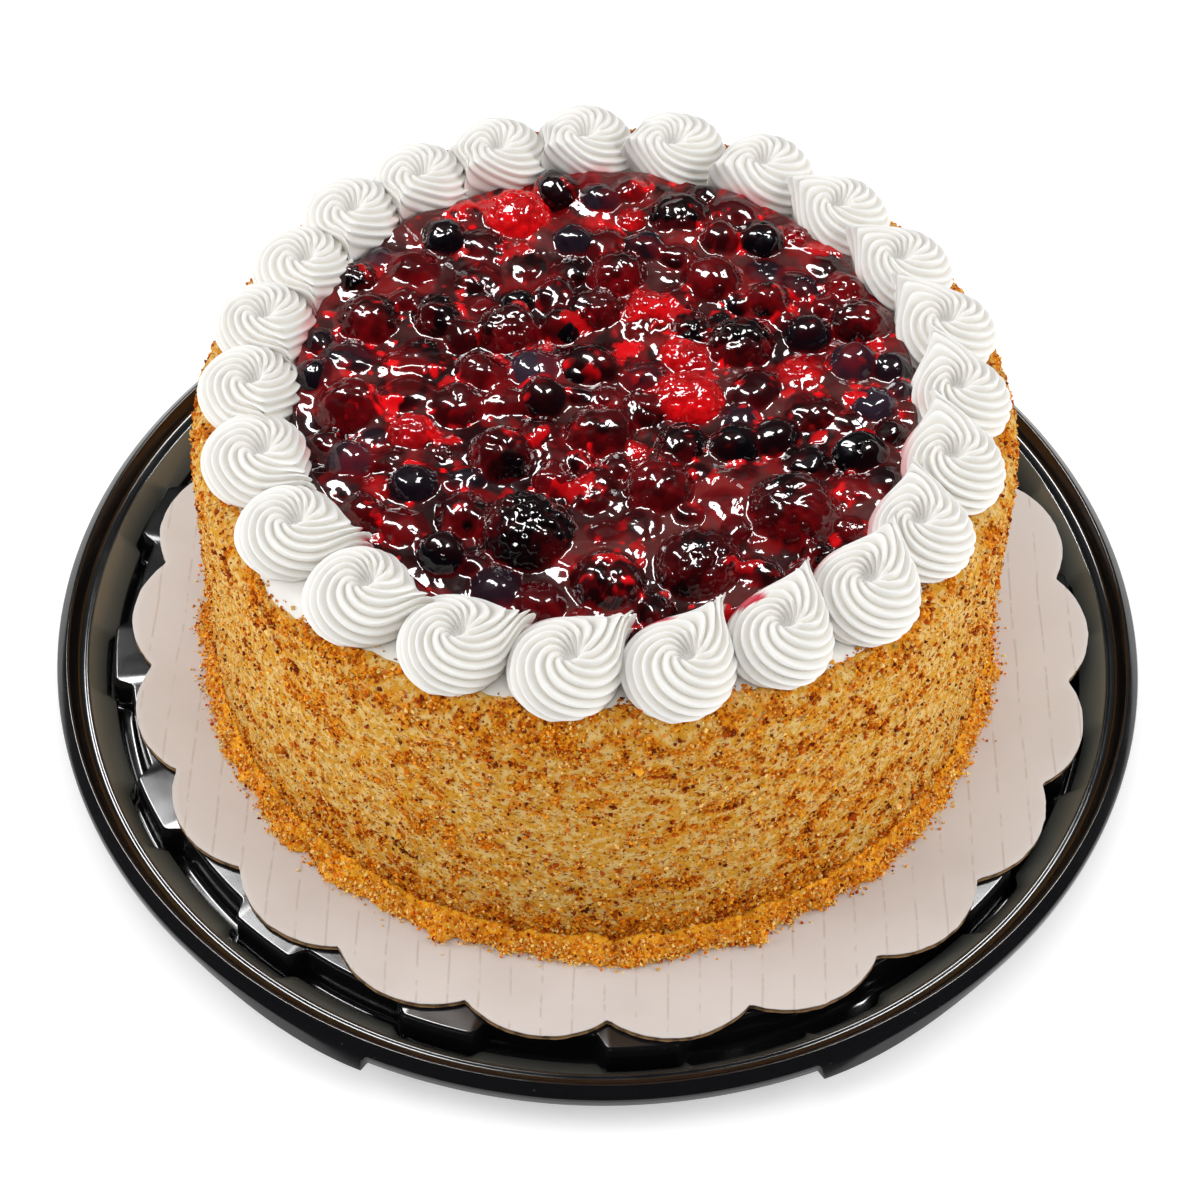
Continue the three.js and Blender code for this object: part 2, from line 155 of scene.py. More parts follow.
def makePiece(name, points, triangles, material, slotName, replaced, values=None, smooth=True):
    # one object at the origin, its place in its mesh, with any per-point values as attributes
    mesh = bpy.data.meshes.new(name)
    mesh.vertices.add(len(points))
    mesh.vertices.foreach_set("co", (points * metresPerMm).astype(np.float32).ravel())
    mesh.loops.add(triangles.size)
    mesh.loops.foreach_set("vertex_index", triangles.astype(np.int32).ravel())
    mesh.polygons.add(len(triangles))
    mesh.polygons.foreach_set("loop_start", np.arange(0, triangles.size, 3, dtype=np.int32))
    mesh.update(calc_edges=True)
    for label, data in (values or {}).items():
        data = np.asarray(data, np.float32)
        if data.ndim == 1:
            mesh.attributes.new(label, "FLOAT", "POINT").data.foreach_set("value", data)
        else:
            rgba = np.ones((len(points), 4), np.float32)
            rgba[:, :3] = data
            colours = mesh.attributes.new(label, "FLOAT_COLOR", "POINT")
            colours.data.foreach_set("color", rgba.ravel())
    if smooth:
        mesh.shade_smooth()
    else:
        mesh.shade_flat()
    mesh.materials.append(material)
    piece = bpy.data.objects.new(name, mesh)
    bpy.context.scene.collection.objects.link(piece)
    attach(piece, "root")
    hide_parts(*replaced)
    print(f"{name}: {len(triangles)} triangles")
    return piece


def fromScreen(red, green, blue):
    # a colour as a screen shows it, 0 to 255, as the linear values that a shader takes
    share = np.array([red, green, blue]) / 255
    return np.where(share < 0.04045, share / 12.92, ((share + 0.055) / 1.055) ** 2.4)


def blend(first, second, share):
    # from the first colour to the second by the share at each place
    return first + (second - first) * share[..., None]


# shader node groups, each built once, and materials

def newGroup(name, inputs, outputs):
    # a node group with sockets, each of a kind such as Float or Color, and inputs with a value
    group = bpy.data.node_groups.new(name, "ShaderNodeTree")
    for label, kind, value in inputs:
        socket = group.interface.new_socket(label, in_out="INPUT", socket_type="NodeSocket" + kind)
        socket.default_value = value
    for label, kind in outputs:
        group.interface.new_socket(label, in_out="OUTPUT", socket_type="NodeSocket" + kind)
    return group, group.nodes.new("NodeGroupInput"), group.nodes.new("NodeGroupOutput")


def newNodes(tree, *kinds):
    # one new shader node of each kind
    return [tree.nodes.new("ShaderNode" + kind) for kind in kinds]


def linkAll(tree, wires):
    # each wire is a node, its output, the node after it and that one's input
    for before, output, after, place in wires:
        tree.links.new(before.outputs[output], after.inputs[place])


def makeGrainGroup():
    # noise in object space, as a value from 0 to 1 and as a bumped normal
    inputs = [("Scale", "Float", 800.0), ("Detail", "Float", 3.0), ("Strength", "Float", 0.3),
              ("Distance", "Float", 0.0003)]
    group, source, result = newGroup("grain", inputs, [("Value", "Float"), ("Normal", "Vector")])
    place, noise, bump = newNodes(group, "TexCoord", "TexNoise", "Bump")
    linkAll(group, [(place, "Object", noise, "Vector"), (source, "Scale", noise, "Scale"),
                    (source, "Detail", noise, "Detail"), (noise, "Fac", bump, "Height"),
                    (source, "Strength", bump, "Strength"), (source, "Distance", bump, "Distance"),
                    (noise, "Fac", result, "Value"), (bump, "Normal", result, "Normal")])
    return group


def makeBlotchGroup():
    # a second colour laid over the first where noise is above a level, with a soft edge
    inputs = [("Colour", "Color", (1, 1, 1, 1)), ("Blotch", "Color", (0, 0, 0, 1)),
              ("Scale", "Float", 100.0), ("Level", "Float", 0.55), ("Softness", "Float", 0.1),
              ("Amount", "Float", 1.0)]
    group, source, result = newGroup("blotches", inputs, [("Colour", "Color")])
    place, noise, mask, mix = newNodes(group, "TexCoord", "TexNoise", "MapRange", "Mix")
    upper, strength = newNodes(group, "Math", "Math")
    upper.operation, strength.operation = "ADD", "MULTIPLY"
    noise.inputs["Detail"].default_value = 4
    mask.interpolation_type = "SMOOTHSTEP"
    mix.data_type = "RGBA"
    linkAll(group, [(place, "Object", noise, "Vector"), (source, "Scale", noise, "Scale"),
                    (noise, "Fac", mask, "Value"), (source, "Level", mask, "From Min"),
                    (source, "Level", upper, 0), (source, "Softness", upper, 1),
                    (upper, 0, mask, "From Max"), (mask, "Result", strength, 0),
                    (source, "Amount", strength, 1), (strength, 0, mix, "Factor"),
                    (source, "Colour", mix, 6), (source, "Blotch", mix, 7),
                    (mix, 2, result, "Colour")])
    return group


grainGroup = makeGrainGroup()
blotchGroup = makeBlotchGroup()


class Finish:
    # a material that starts as one Principled shader; its methods add one node each
    def __init__(self, name, colour, roughness, **sockets):
        self.material = bpy.data.materials.new(name)
        self.material.use_nodes = True
        self.nodes = self.material.node_tree.nodes
        self.link = self.material.node_tree.links.new
        self.shader = self.nodes["Principled BSDF"]
        self.shader.inputs["Base Color"].default_value = (*colour, 1)
        self.shader.inputs["Roughness"].default_value = roughness
        for label, value in sockets.items():
            self.shader.inputs[label.replace("_", " ")].default_value = value

    def fill(self, place, value):
        # an input takes a link from a socket, or else the number or colour itself
        if isinstance(value, bpy.types.NodeSocket):
            self.link(value, place)
        else:
            place.default_value = (*value, 1) if np.ndim(value) else value

    def feed(self, label, socket):
        # a socket into the Principled shader
        self.link(socket, self.shader.inputs[label])

    def group(self, tree, **values):
        # one of the shared node groups, with its inputs filled
        node = self.nodes.new("ShaderNodeGroup")
        node.node_tree = tree
        for label, value in values.items():
            self.fill(node.inputs[label], value)
        return node

    def roughen(self, scale, detail, strength, distance):
        # grain that bumps the surface
        grain = self.group(grainGroup, Scale=scale, Detail=detail, Strength=strength, Distance=distance)
        self.feed("Normal", grain.outputs["Normal"])
        return grain.outputs["Normal"]

    def blotches(self, first, second, scale, level, softness, amount):
        # patches of the second colour on the first
        node = self.group(blotchGroup, Colour=first, Blotch=second, Scale=scale, Level=level,
                          Softness=softness, Amount=amount)
        return node.outputs["Colour"]

    def attribute(self, label, output="Fac"):
        # a number kept with each point of the mesh, or its colour when the output is Color
        node = self.nodes.new("ShaderNodeAttribute")
        node.attribute_name = label
        return node.outputs[output]

    def mix(self, factor, first, second):
        # second over first by the factor; each is a socket, a number or a colour
        node = self.nodes.new("ShaderNodeMix")
        node.data_type = "RGBA"
        for place, value in ((0, factor), (6, first), (7, second)):
            self.fill(node.inputs[place], value)
        return node.outputs[2]

    def spread(self, value, low, high):
        # a value from 0 to 1 as one from low to high
        node = self.nodes.new("ShaderNodeMapRange")
        self.link(value, node.inputs["Value"])
        node.inputs["To Min"].default_value = low
        node.inputs["To Max"].default_value = high
        return node.outputs["Result"]


# camera and light

camera = {
    "place": (0.0, -460.0, 599.8),
    "pitch": 0.8974,  # radians below the horizon
    "yaw": -0.0019,
    "roll": 0.0281,
    "focalPixels": 2798.0,  # for a picture 1200 pixels wide
    "pictureWidth": 1200.0,
    "centre": (602.94, 600.07),
    "sensor": 36.0,
}


def makeCamera(c):
    # back, right and up axes from pitch and yaw, then turned about the view by the roll
    back = Vector((math.sin(c["yaw"]) * math.cos(c["pitch"]),
                   -math.cos(c["yaw"]) * math.cos(c["pitch"]),
                   math.sin(c["pitch"])))
    right = (-back).cross(Vector((0, 0, 1))).normalized()
    up = back.cross(right)
    turned = Matrix.Rotation(c["roll"], 3, back)
    right, up = turned @ right, turned @ up
    data = bpy.data.cameras.new("camera")
    data.sensor_width = c["sensor"]
    data.lens = c["sensor"] * c["focalPixels"] / c["pictureWidth"]
    data.shift_x = (c["pictureWidth"] / 2 - c["centre"][0]) / c["pictureWidth"]
    data.shift_y = (c["centre"][1] - c["pictureWidth"] / 2) / c["pictureWidth"]
    data.clip_start, data.clip_end = 0.01, 20
    eye = bpy.data.objects.new("camera", data)
    axes = Matrix((right, up, back)).transposed().to_4x4()
    eye.matrix_world = Matrix.Translation(Vector(c["place"]) * metresPerMm) @ axes
    bpy.context.scene.collection.objects.link(eye)
    bpy.context.scene.camera = eye


studio = {
    "worldForAll": 0.46,
    # what shiny surfaces mirror: a dim room, lighter behind, with a pale card high at its back
    "mirrorFront": 0.01,
    "mirrorBack": 0.06,
    "mirrorCard": 0.14,
    "roomDepths": (-0.3, 0.5),  # share of the way back from which and to which it lightens
    "cardDepths": (0.1, 0.3),
    "cardHeights": (0.64, 0.72, 0.88, 0.95),  # sines of the elevations where it fades in and out
    # name: azimuth, elevation, distance, width, length, brightness, on matte, on shiny surfaces
    "panels": {
        "leftPanel": (188, 26, 1.6, 0.9, 0.9, 5.4, True, False),
        "rightPanel": (352, 26, 1.6, 0.9, 0.9, 5.2, True, False),
        "topPanel": (250, 80, 1.5, 0.8, 0.8, 1.35, True, False),
        "backPanel": (85, 55, 1.6, 0.9, 0.9, 0.9, True, False),
        "stripLeft": (137, 60, 1.3, 0.22, 0.9, 36.0, False, True),
        "stripRight": (43, 62, 1.3, 0.22, 0.45, 36.0, False, True),
    },
    "aimHeight": 0.08,
    "floorColour": (252, 252, 252),
    "floorGlow": 0.32,
    "floorSize": 6.0,
}


def makePanel(name, azimuth, elevation, distance, width, length, brightness, matte, mirrored):
    # a rectangle of light aimed at the cake; power = brightness x area x pi gives that radiance
    data = bpy.data.lights.new(name, "AREA")
    data.shape = "RECTANGLE"
    data.size, data.size_y = width, length
    data.energy = brightness * width * length * math.pi
    panel = bpy.data.objects.new(name, data)
    side = math.cos(math.radians(elevation))
    away = Vector((side * math.cos(math.radians(azimuth)), side * math.sin(math.radians(azimuth)),
                   math.sin(math.radians(elevation))))
    panel.location = away * distance + Vector((0, 0, studio["aimHeight"]))
    panel.rotation_mode = "QUATERNION"
    panel.rotation_quaternion = away.to_track_quat("Z", "Y")
    panel.visible_diffuse = matte
    panel.visible_glossy = mirrored
    panel.visible_camera = False
    bpy.context.scene.collection.objects.link(panel)


def makeStudio(s):
    # plain light all round, but shiny surfaces mirror a dim room with a pale card at its back
    world = bpy.data.worlds.new("studio")
    world.use_nodes = True
    nodes, link = world.node_tree.nodes, world.node_tree.links.new
    background = nodes["Background"]
    background.inputs["Color"].default_value = (1, 1, 1, 1)
    place = nodes.new("ShaderNodeTexCoord")
    axes = nodes.new("ShaderNodeSeparateXYZ")
    rays = nodes.new("ShaderNodeLightPath")
    choice = nodes.new("ShaderNodeMix")
    choice.inputs[2].default_value = s["worldForAll"]
    link(place.outputs["Generated"], axes.inputs[0])

    def fade(value, low, high, lowValue, highValue):
        # a soft step from the low value to the high one
        node = nodes.new("ShaderNodeMapRange")
        node.interpolation_type = "SMOOTHSTEP"
        for place, number in enumerate((low, high, lowValue, highValue), 1):
            node.inputs[place].default_value = number
        link(value, node.inputs[0])
        return node.outputs["Result"]

    def together(operation, first, second):
        # the sum or product of two sockets
        node = nodes.new("ShaderNodeMath")
        node.operation = operation
        link(first, node.inputs[0])
        link(second, node.inputs[1])
        return node.outputs[0]

    heights = s["cardHeights"]
    slope = fade(axes.outputs["Y"], *s["roomDepths"], s["mirrorFront"], s["mirrorBack"])
    above = fade(axes.outputs["Z"], *heights[:2], 0, s["mirrorCard"])
    below = fade(axes.outputs["Z"], *heights[2:], 1, 0)
    behind = fade(axes.outputs["Y"], *s["cardDepths"], 0, 1)
    pale = together("MULTIPLY", together("MULTIPLY", above, below), behind)
    link(rays.outputs["Is Glossy Ray"], choice.inputs[0])
    link(together("ADD", slope, pale), choice.inputs[3])
    link(choice.outputs[0], background.inputs["Strength"])
    bpy.context.scene.world = world
    for name, settings in s["panels"].items():
        makePanel(name, *settings)
    floorMesh = bpy.data.meshes.new("floor")
    half = s["floorSize"] / 2
    corners = [(-half, -half, 0), (half, -half, 0), (half, half, 0), (-half, half, 0)]
    floorMesh.from_pydata(corners, [], [(0, 1, 2, 3)])
    paper = Finish("paper", fromScreen(*s["floorColour"]), 0.9, Emission_Color=(1, 1, 1, 1),
                   Emission_Strength=s["floorGlow"])
    floorMesh.materials.append(paper.material)
    floor = bpy.data.objects.new("floor", floorMesh)
    bpy.context.scene.collection.objects.link(floor)


makeCamera(camera)
makeStudio(studio)
bpy.context.scene.view_settings.view_transform = "Standard"
print("camera and light are set")


# tray

tray = {
    "steps": 960,
    "arcPoints": 5,
    "castellations": 16,
    "notchAngle": 231.0,  # middle of one notch
    "notchHalfWidth": 4.5,
    "edgeSoftness": 1.5,
    "missingLedge": 287.25,
    "missingPad": 298.5,
    "missingSpan": 6.75,
    "missingSoftness": 0.5,
    "padReach": 4.3,
    "notchReach": 2.3,
    "tabAngle": 270.5,
    "tabHalfSpan": 22.5,
    "tabStep": 0.4,
    "tabFade": 22.0,
    "tabReach": 2.2,
    "tabDrop": 1.0,
    "waviness": 0.05,
    "waveSize": 26,
    "sheenAndDustFrom": (128.4, 129.2),  # radii between which the dust and the painted sheen on the slope begin
    "sheenAndDustTo": 135.0,
    "sheenAndDustFade": 0.6,
    "sheenAndDustInFront": 0.35,
    "black": (0.006, 0.006, 0.007),
    "specks": (0.16, 0.16, 0.17),
    # the grey of the dust and of the painted reflection on the slope
    "sheenAndDustColour": (0.19, 0.2, 0.175),
}

# corners of the sheet from the middle of its upper face round to the middle of its lower one:
# radius, height, rounding, and the share of the pad's, notch's and lip's reach
trayCorners = [
    (0, 12.2, 0, 0, 0, 0), (124, 12.2, 0.9, 1, 0, 0), (124.6, 1, 1.3, 1, 0, 0),
    (128.3, 1, 1.3, 0, 1, 0), (128.5, 6.1, 0.5, 0, 1, 0), (134.9, 12.3, 0.7, 0, 0, 0),
    (136.2, 11.9, 0.5, 0, 0, 0), (137.6, 12.3, 0.6, 0, 0, 0), (139.9, 16.8, 0.9, 0, 0, 0),
    (143, 13.9, 0.7, 0, 0, 0),
    (143, 11.6, 0.3, 0, 0, 1), (142, 11.6, 0.3, 0, 0, 1), (140.23, 15.2, 0.6, 0, 0, 0),
    (138.1, 11.3, 0.4, 0, 0, 0), (135.4, 11.3, 0.4, 0, 0, 0), (129.5, 5.6, 0.3, 0, 1, 0),
    (129.3, 0, 0.6, 0, 1, 0), (123.6, 0, 0.6, 1, 0, 0), (123, 11.2, 0.4, 1, 0, 0),
    (0, 11.2, 0, 0, 0, 0),
]


def roundedCorners(corners, arcPoints):
    # each corner with a rounding becomes a quadratic arc between points on its two sides
    corners = np.array(corners, float)
    values = np.delete(corners, 2, axis=1)
    rows = [values[:1]]
    for before, here, after, radius in zip(values, values[1:], values[2:], corners[1:-1, 2]):
        ends = []
        for other in (before, after):
            length = np.hypot(*(other - here)[:2])
            ends.append(here + (other - here) * min(radius / length, 0.45))
        t = np.linspace(0, 1, arcPoints)[:, None]
        rows.append((1 - t) ** 2 * ends[0] + 2 * t * (1 - t) * here + t ** 2 * ends[1])
    rows.append(values[-1:])
    return np.concatenate(rows)


def angleApart(a, b):
    # the angle from b to a, from -180 up to 180
    return (a - b + 180) % 360 - 180


def makeTray(t):
    # every column of points is the profile, pushed out at the pads, the notches and the lips
    angle = columnAngles(t["steps"])[0]
    period = 360 / t["castellations"]
    fromNotch = (angle - t["notchAngle"] + period / 2) % period - period / 2
    isNotch = smoothStep((t["notchHalfWidth"] - np.abs(fromNotch)) / t["edgeSoftness"], -0.5, 0.5)
    soft = t["missingSpan"] + np.array([-1, 1]) * t["missingSoftness"]
    noLedge, noPad = (1 - smoothStep(np.abs(angleApart(angle, t[place])), *soft)
                      for place in ("missingLedge", "missingPad"))
    pad = isNotch * (1 - noPad)
    notch = np.maximum(isNotch, noLedge)
    # the lip steps out at either side of the front and fades back from there
    beyond = np.abs(angleApart(angle, t["tabAngle"])) - t["tabHalfSpan"]
    tab = np.where(beyond < -t["tabStep"], 0, smoothStep(t["tabFade"] - beyond, 0, t["tabFade"]))
    profile = roundedCorners(trayCorners, t["arcPoints"])
    radius, height, padShare, notchShare, lipShare = (profile[:, [i]] for i in range(5))
    out = (radius + padShare * pad * t["padReach"] + notchShare * notch * t["notchReach"]
           + lipShare * tab * t["tabReach"])
    grid = polar(out, angle[None], height - lipShare * tab * t["tabDrop"])
    shaped = grid[1:-1]
    sway = (softNoise(shaped * [1, 1, 0.2], t["waveSize"], 3) - 1) * t["waviness"]
    outer = shaped[..., :2] / np.linalg.norm(shaped[..., :2], axis=-1, keepdims=True)
    shaped[..., :2] += outer * sway[..., None]
    points, triangles = closedShell(shaped, grid[0, 0], grid[-1, 0])
    # dust and a painted sheen where it slopes up from the moat, most at the two sides: a grey that stands
    # in for the reflection there
    upper = np.arange(len(shaped)) < len(shaped) / 2
    slope = smoothStep(radius[1:-1], *t["sheenAndDustFrom"]) * upper[:, None]
    slope = slope * smoothStep(t["sheenAndDustTo"] - radius[1:-1], 0, t["sheenAndDustFade"])
    aside = np.abs(np.cos(np.radians(angle))) ** 1.5
    sheenAndDust = slope * (t["sheenAndDustInFront"] + (1 - t["sheenAndDustInFront"]) * aside)
    plastic = Finish("trayPlastic", t["black"], 0.13, IOR=1.55)
    plastic.roughen(45.0, 2.0, 0.1, 0.0006)
    specked = plastic.blotches(t["black"], t["specks"], 1500.0, 0.74, 0.03, 0.8)
    # the slope's grey over the black: dust with a painted reflection
    plastic.feed("Base Color", plastic.mix(plastic.attribute("sheenAndDust"), specked, t["sheenAndDustColour"]))
    scuff = plastic.group(grainGroup, Scale=90.0, Detail=5.0)
    plastic.feed("Roughness", plastic.spread(scuff.outputs["Value"], 0.06, 0.24))
    makePiece("trayShell", points, triangles, plastic.material, "tray_plastic", ["tray"],
              {"sheenAndDust": np.append(sheenAndDust.ravel(), [0, 0])})


makeTray(tray)


# scalloped card

card = {
    "bottom": 12.5,
    "thickness": 2.0,
    "liner": 0.35,
    "lobes": 22,
    "tipRadius": 127.0,
    "cuspRadius": 121.2,
    "firstCusp": 172.5,
    "offset": 3.2,
    "columnsPerLobe": 30,
    "edgeRoughness": 0.16,
    "flutePitch": 7.6,
    "fluteInset": 0.25,
    "fluteHalf": 0.15,
    "fluteGap": 0.15,
    "fluteInner": 0.93,
    "fluteColumns": 48,
}


def cardOutline(c, angle):
    # distance to a lobe's circle: k cos(a) + sqrt(R^2 - k^2 sin^2(a)), a from the lobe's middle
    step = 360 / c["lobes"]
    halfChord = c["cuspRadius"] * math.sin(math.radians(step / 2))
    bulge = c["tipRadius"] - c["cuspRadius"] * math.cos(math.radians(step / 2))
    lobe = (halfChord ** 2 + bulge ** 2) / (2 * bulge)
    centre = c["tipRadius"] - lobe
    aside = np.radians((angle - c["firstCusp"]) % step - step / 2)
    return centre * np.cos(aside) + np.sqrt(lobe ** 2 - (centre * np.sin(aside)) ** 2)


def cardLayer(c, low, high, inset):
    # a closed plate with the scalloped outline, its cut edge a little rough
    angle = columnAngles(c["lobes"] * c["columnsPerLobe"])[0]
    outline = cardOutline(c, angle) - inset
    spots = polar(outline, angle, low)
    outline = outline + c["edgeRoughness"] * layeredNoise(spots, 2.2, 3, 17)
    # rings from the middle of the top over the edge to that of the bottom: share of the outline
    rings = [(0.3, high), (0.6, high), (0.85, high), (0.95, high), (0.985, high), (0.9985, high),
             (1, high - 0.08), (1, low + 0.05), (0.9985, low), (0.9, low), (0.5, low)]
    grid = np.stack([polar(outline * share, angle, height) for share, height in rings])
    grid[..., 0] += c["offset"]
    return closedShell(grid, (c["offset"], 0, high), (c["offset"], 0, low))


def cardFlutes(c):
    # the waved sheet between the liners, seen at the edge: height follows sin(2 pi x / pitch)
    angle = columnAngles(c["lobes"] * c["fluteColumns"])[0]
    outline = cardOutline(c, angle) - c["fluteInset"]
    middle = c["bottom"] + c["thickness"] / 2
    swing = c["thickness"] / 2 - c["liner"] - c["fluteGap"]
    rows = []
    for share, side in [(1, 1), (1, -1), (c["fluteInner"], -1), (c["fluteInner"], 1)]:
        row = polar(outline * share, angle, 0.0)
        wave = swing * np.sin(2 * math.pi * row[:, 0] / c["flutePitch"])
        row[:, 2] = middle + wave + side * c["fluteHalf"]
        rows.append(row)
    grid = np.stack(rows)
    grid[..., 0] += c["offset"]
    return closedShell(grid)


def makeCard(c):
    # a white face whose hidden flutes show as faint lines, over a brown edge
    top = c["bottom"] + c["thickness"]
    face = Finish("cardFace", fromScreen(222, 210, 203), 0.85, Specular_IOR_Level=0.2)
    place, wave, line = newNodes(face.material.node_tree, "TexCoord", "TexWave", "MapRange")
    wave.bands_direction = "X"
    # the texture's bands are pi / (10 x scale) apart
    wave.inputs["Scale"].default_value = math.pi / (10 * c["flutePitch"] * metresPerMm)
    wave.inputs["Distortion"].default_value = 0.6
    wave.inputs["Detail"].default_value = 1.0
    line.inputs["From Min"].default_value = 0.975
    face.link(place.outputs["Object"], wave.inputs["Vector"])
    face.link(wave.outputs["Fac"], line.inputs["Value"])
    fibres = face.blotches(fromScreen(220, 214, 210), fromScreen(212, 205, 200), 38.0, 0.4, 0.3, 0.8)
    dots = face.blotches(fibres, fromScreen(201, 189, 180), 260.0, 0.4, 0.15, 0.8)
    face.feed("Base Color", face.mix(line.outputs["Result"], fibres, dots))
    face.roughen(1400.0, 4.0, 0.25, 0.0001)
    kraft = Finish("cardKraft", fromScreen(150, 118, 82), 0.9)
    kraft.roughen(1800.0, 5.0, 0.6, 0.0002)
    kraft.feed("Base Color", kraft.blotches(fromScreen(158, 124, 86), fromScreen(96, 70, 46), 420.0,
                                            0.45, 0.2, 0.9))
    makePiece("cardTop", *cardLayer(c, top - c["liner"], top, 0.0), face.material, "card",
              ["scalloped_card"])
    lower = joined([cardLayer(c, c["bottom"], c["bottom"] + c["liner"], 0.05), cardFlutes(c)])
    makePiece("cardFlutes", *lower, kraft.material, "card", ["scalloped_card"])


makeCard(card)


# frosted cake and its coat of crumbs

cake = {
    "bottom": 14.8,
    "height": 86.2,
    "footRadius": 102.0,
    "topRadius": 100.6,
    "coatThickness": 1.6,
    "shoulder": 6.5,
    "wobble": 0.45,
    "columns": 420,
    "spatulaMarks": 0.12,
}
cake["top"] = cake["bottom"] + cake["height"]
cake["wallTop"] = cake["top"] - cake["shoulder"]

coat = {
    "bottom": 17.0,
    "edge": 11.6,  # how far the coat reaches past the wall's top, along the shoulder
    "margin": 3.5,  # and its mesh goes on past the edge, hidden in the frosting
    "ragged": 1.5,
    "bareSpots": [(222, 13, 5.5), (309, 11, 4.5), (160, 20, 4.0), (20, 25, 3.5)],  # angle, width, drop
    "edgeFade": (-0.3, 1.2),
    "columns": 860,
    "rows": 104,
    "grain": 0.5,
    "clump": 0.55,
    "clumpSize": 3.0,
    "slimmer": 0.6,  # than the solid's coat, because loose crumbs stand on it
    "thinnerAbove": 0.45,
    "thinningSpan": 4,
    "taper": (19.6, 23.2),  # heights between which it thickens over the heap of crumbs
    "taperLeast": 0.4,
    "sunk": 0.7,  # below the frosting's face where it is bare
    "backDepth": 2.2,
    "shadow": (21.2, 24.5),  # heights between which the painted shadow, a dark line above the heap, ends
    "shadowStrength": 0.75,
}

# where crumbs lie thick: sizes and strengths of two noises, strengths of the zones, and the
# heights, or distances to the left and right, between which each zone grows; the zone at the left
# and right takes crumbs away, a painted lightening for the brighter light on those sides
toast = {
    "clusterSize": 3.0,
    "clusters": 0.38,
    "driftSize": 13,
    "drifts": 0.2,
    "upper": 0.16,
    "upperSpan": (86, 97),
    "lower": 0.34,
    "lowerSpan": (20, 34),
    "sides": 0.12,
    "sideLighteningSpan": (60, 98),
    "range": (0.44, 0.82),
}


def wallRadius(height):
    # the side leans in evenly from its foot to its top
    share = (height - cake["bottom"]) / cake["height"]
    return cake["footRadius"] + (cake["topRadius"] - cake["footRadius"]) * share


def spreadWobble(angle, height):
    # hand-spread frosting: two slow waves round the wall that lean with the height
    slow = np.sin(np.radians(3 * angle + 1.1 * height))
    quick = np.sin(np.radians(7 * angle - 2.3 * height + 40))
    return cake["wobble"] * (0.65 * slow + 0.35 * quick)


def frostingSpot(angle, rise, lift=0.0):
    # a point at a distance up the frosting's side: its wall, a quarter circle, then its flat top
    bend = np.clip((rise - cake["wallTop"]) / cake["shoulder"], 0, math.pi / 2)
    inward = np.maximum(rise - cake["wallTop"] - cake["shoulder"] * math.pi / 2, 0)
    straight = np.minimum(rise, cake["wallTop"])
    out = cake["shoulder"] + lift
    radius = wallRadius(straight) - cake["coatThickness"] - cake["shoulder"] + out * np.cos(bend)
    radius = radius - inward
    return polar(radius + spreadWobble(angle, straight), angle, straight + out * np.sin(bend))


def toastedness(spot):
    # 0 to 1: where crumbs lie thick, in small clusters, and thicker near the foot and upper edge; less at
    #         the far left and right, which paints in the brighter light there
    clusters = (0.5 + toast["clusters"] * layeredNoise(spot, toast["clusterSize"], 2, 31)
                + toast["drifts"] * softNoise(spot, toast["driftSize"], 35))
    ends = (toast["upper"] * smoothStep(spot[..., 2], *toast["upperSpan"])
            + toast["lower"] * (1 - smoothStep(spot[..., 2], *toast["lowerSpan"])))
    # painted light: fewer, paler crumbs where the wall turns away to the left and right
    sides = toast["sides"] * smoothStep(np.abs(spot[..., 0]), *toast["sideLighteningSpan"])
    return smoothStep(clusters + ends - sides, *toast["range"])


def coatEdge(angle):
    # how far up the side the coat ends, wandering round the cake
    spot = polar(100.0, angle, 0.0)
    edge = cake["wallTop"] + coat["edge"] + coat["ragged"] * layeredNoise(spot, 12, 4, 41)
    for middle, width, drop in coat["bareSpots"]:
        edge = edge - drop * np.exp(-(angleApart(angle, middle) / width) ** 2)
    return edge


def coatCover(angle, rise):
    # 1 where the coat lies, 0 past its edge
    return smoothStep(coatEdge(angle) - rise, *coat["edgeFade"])


def coatSpot(angle, rise):
    # the coat's face: clumps and grains on the frosting, sinking into it past the coat's edge
    spot = frostingSpot(angle, rise)
    clumps = coat["clump"] * layeredNoise(spot, coat["clumpSize"], 2, 51)
    grains = clumps + coat["grain"] * softNoise(spot, 1.1, 61)
    covered = coatCover(angle, rise)
    bend, span = cake["wallTop"], coat["thinningSpan"]
    thick = cake["coatThickness"] - coat["slimmer"]
    thick = thick * (1 - coat["thinnerAbove"] * smoothStep(rise, bend - span, bend + span))
    least = coat["taperLeast"]
    lift = (thick + 0.5 * grains) * (least + (1 - least) * smoothStep(rise, *coat["taper"]))
    return frostingSpot(angle, rise, lift * covered - coat["sunk"] * (1 - covered))


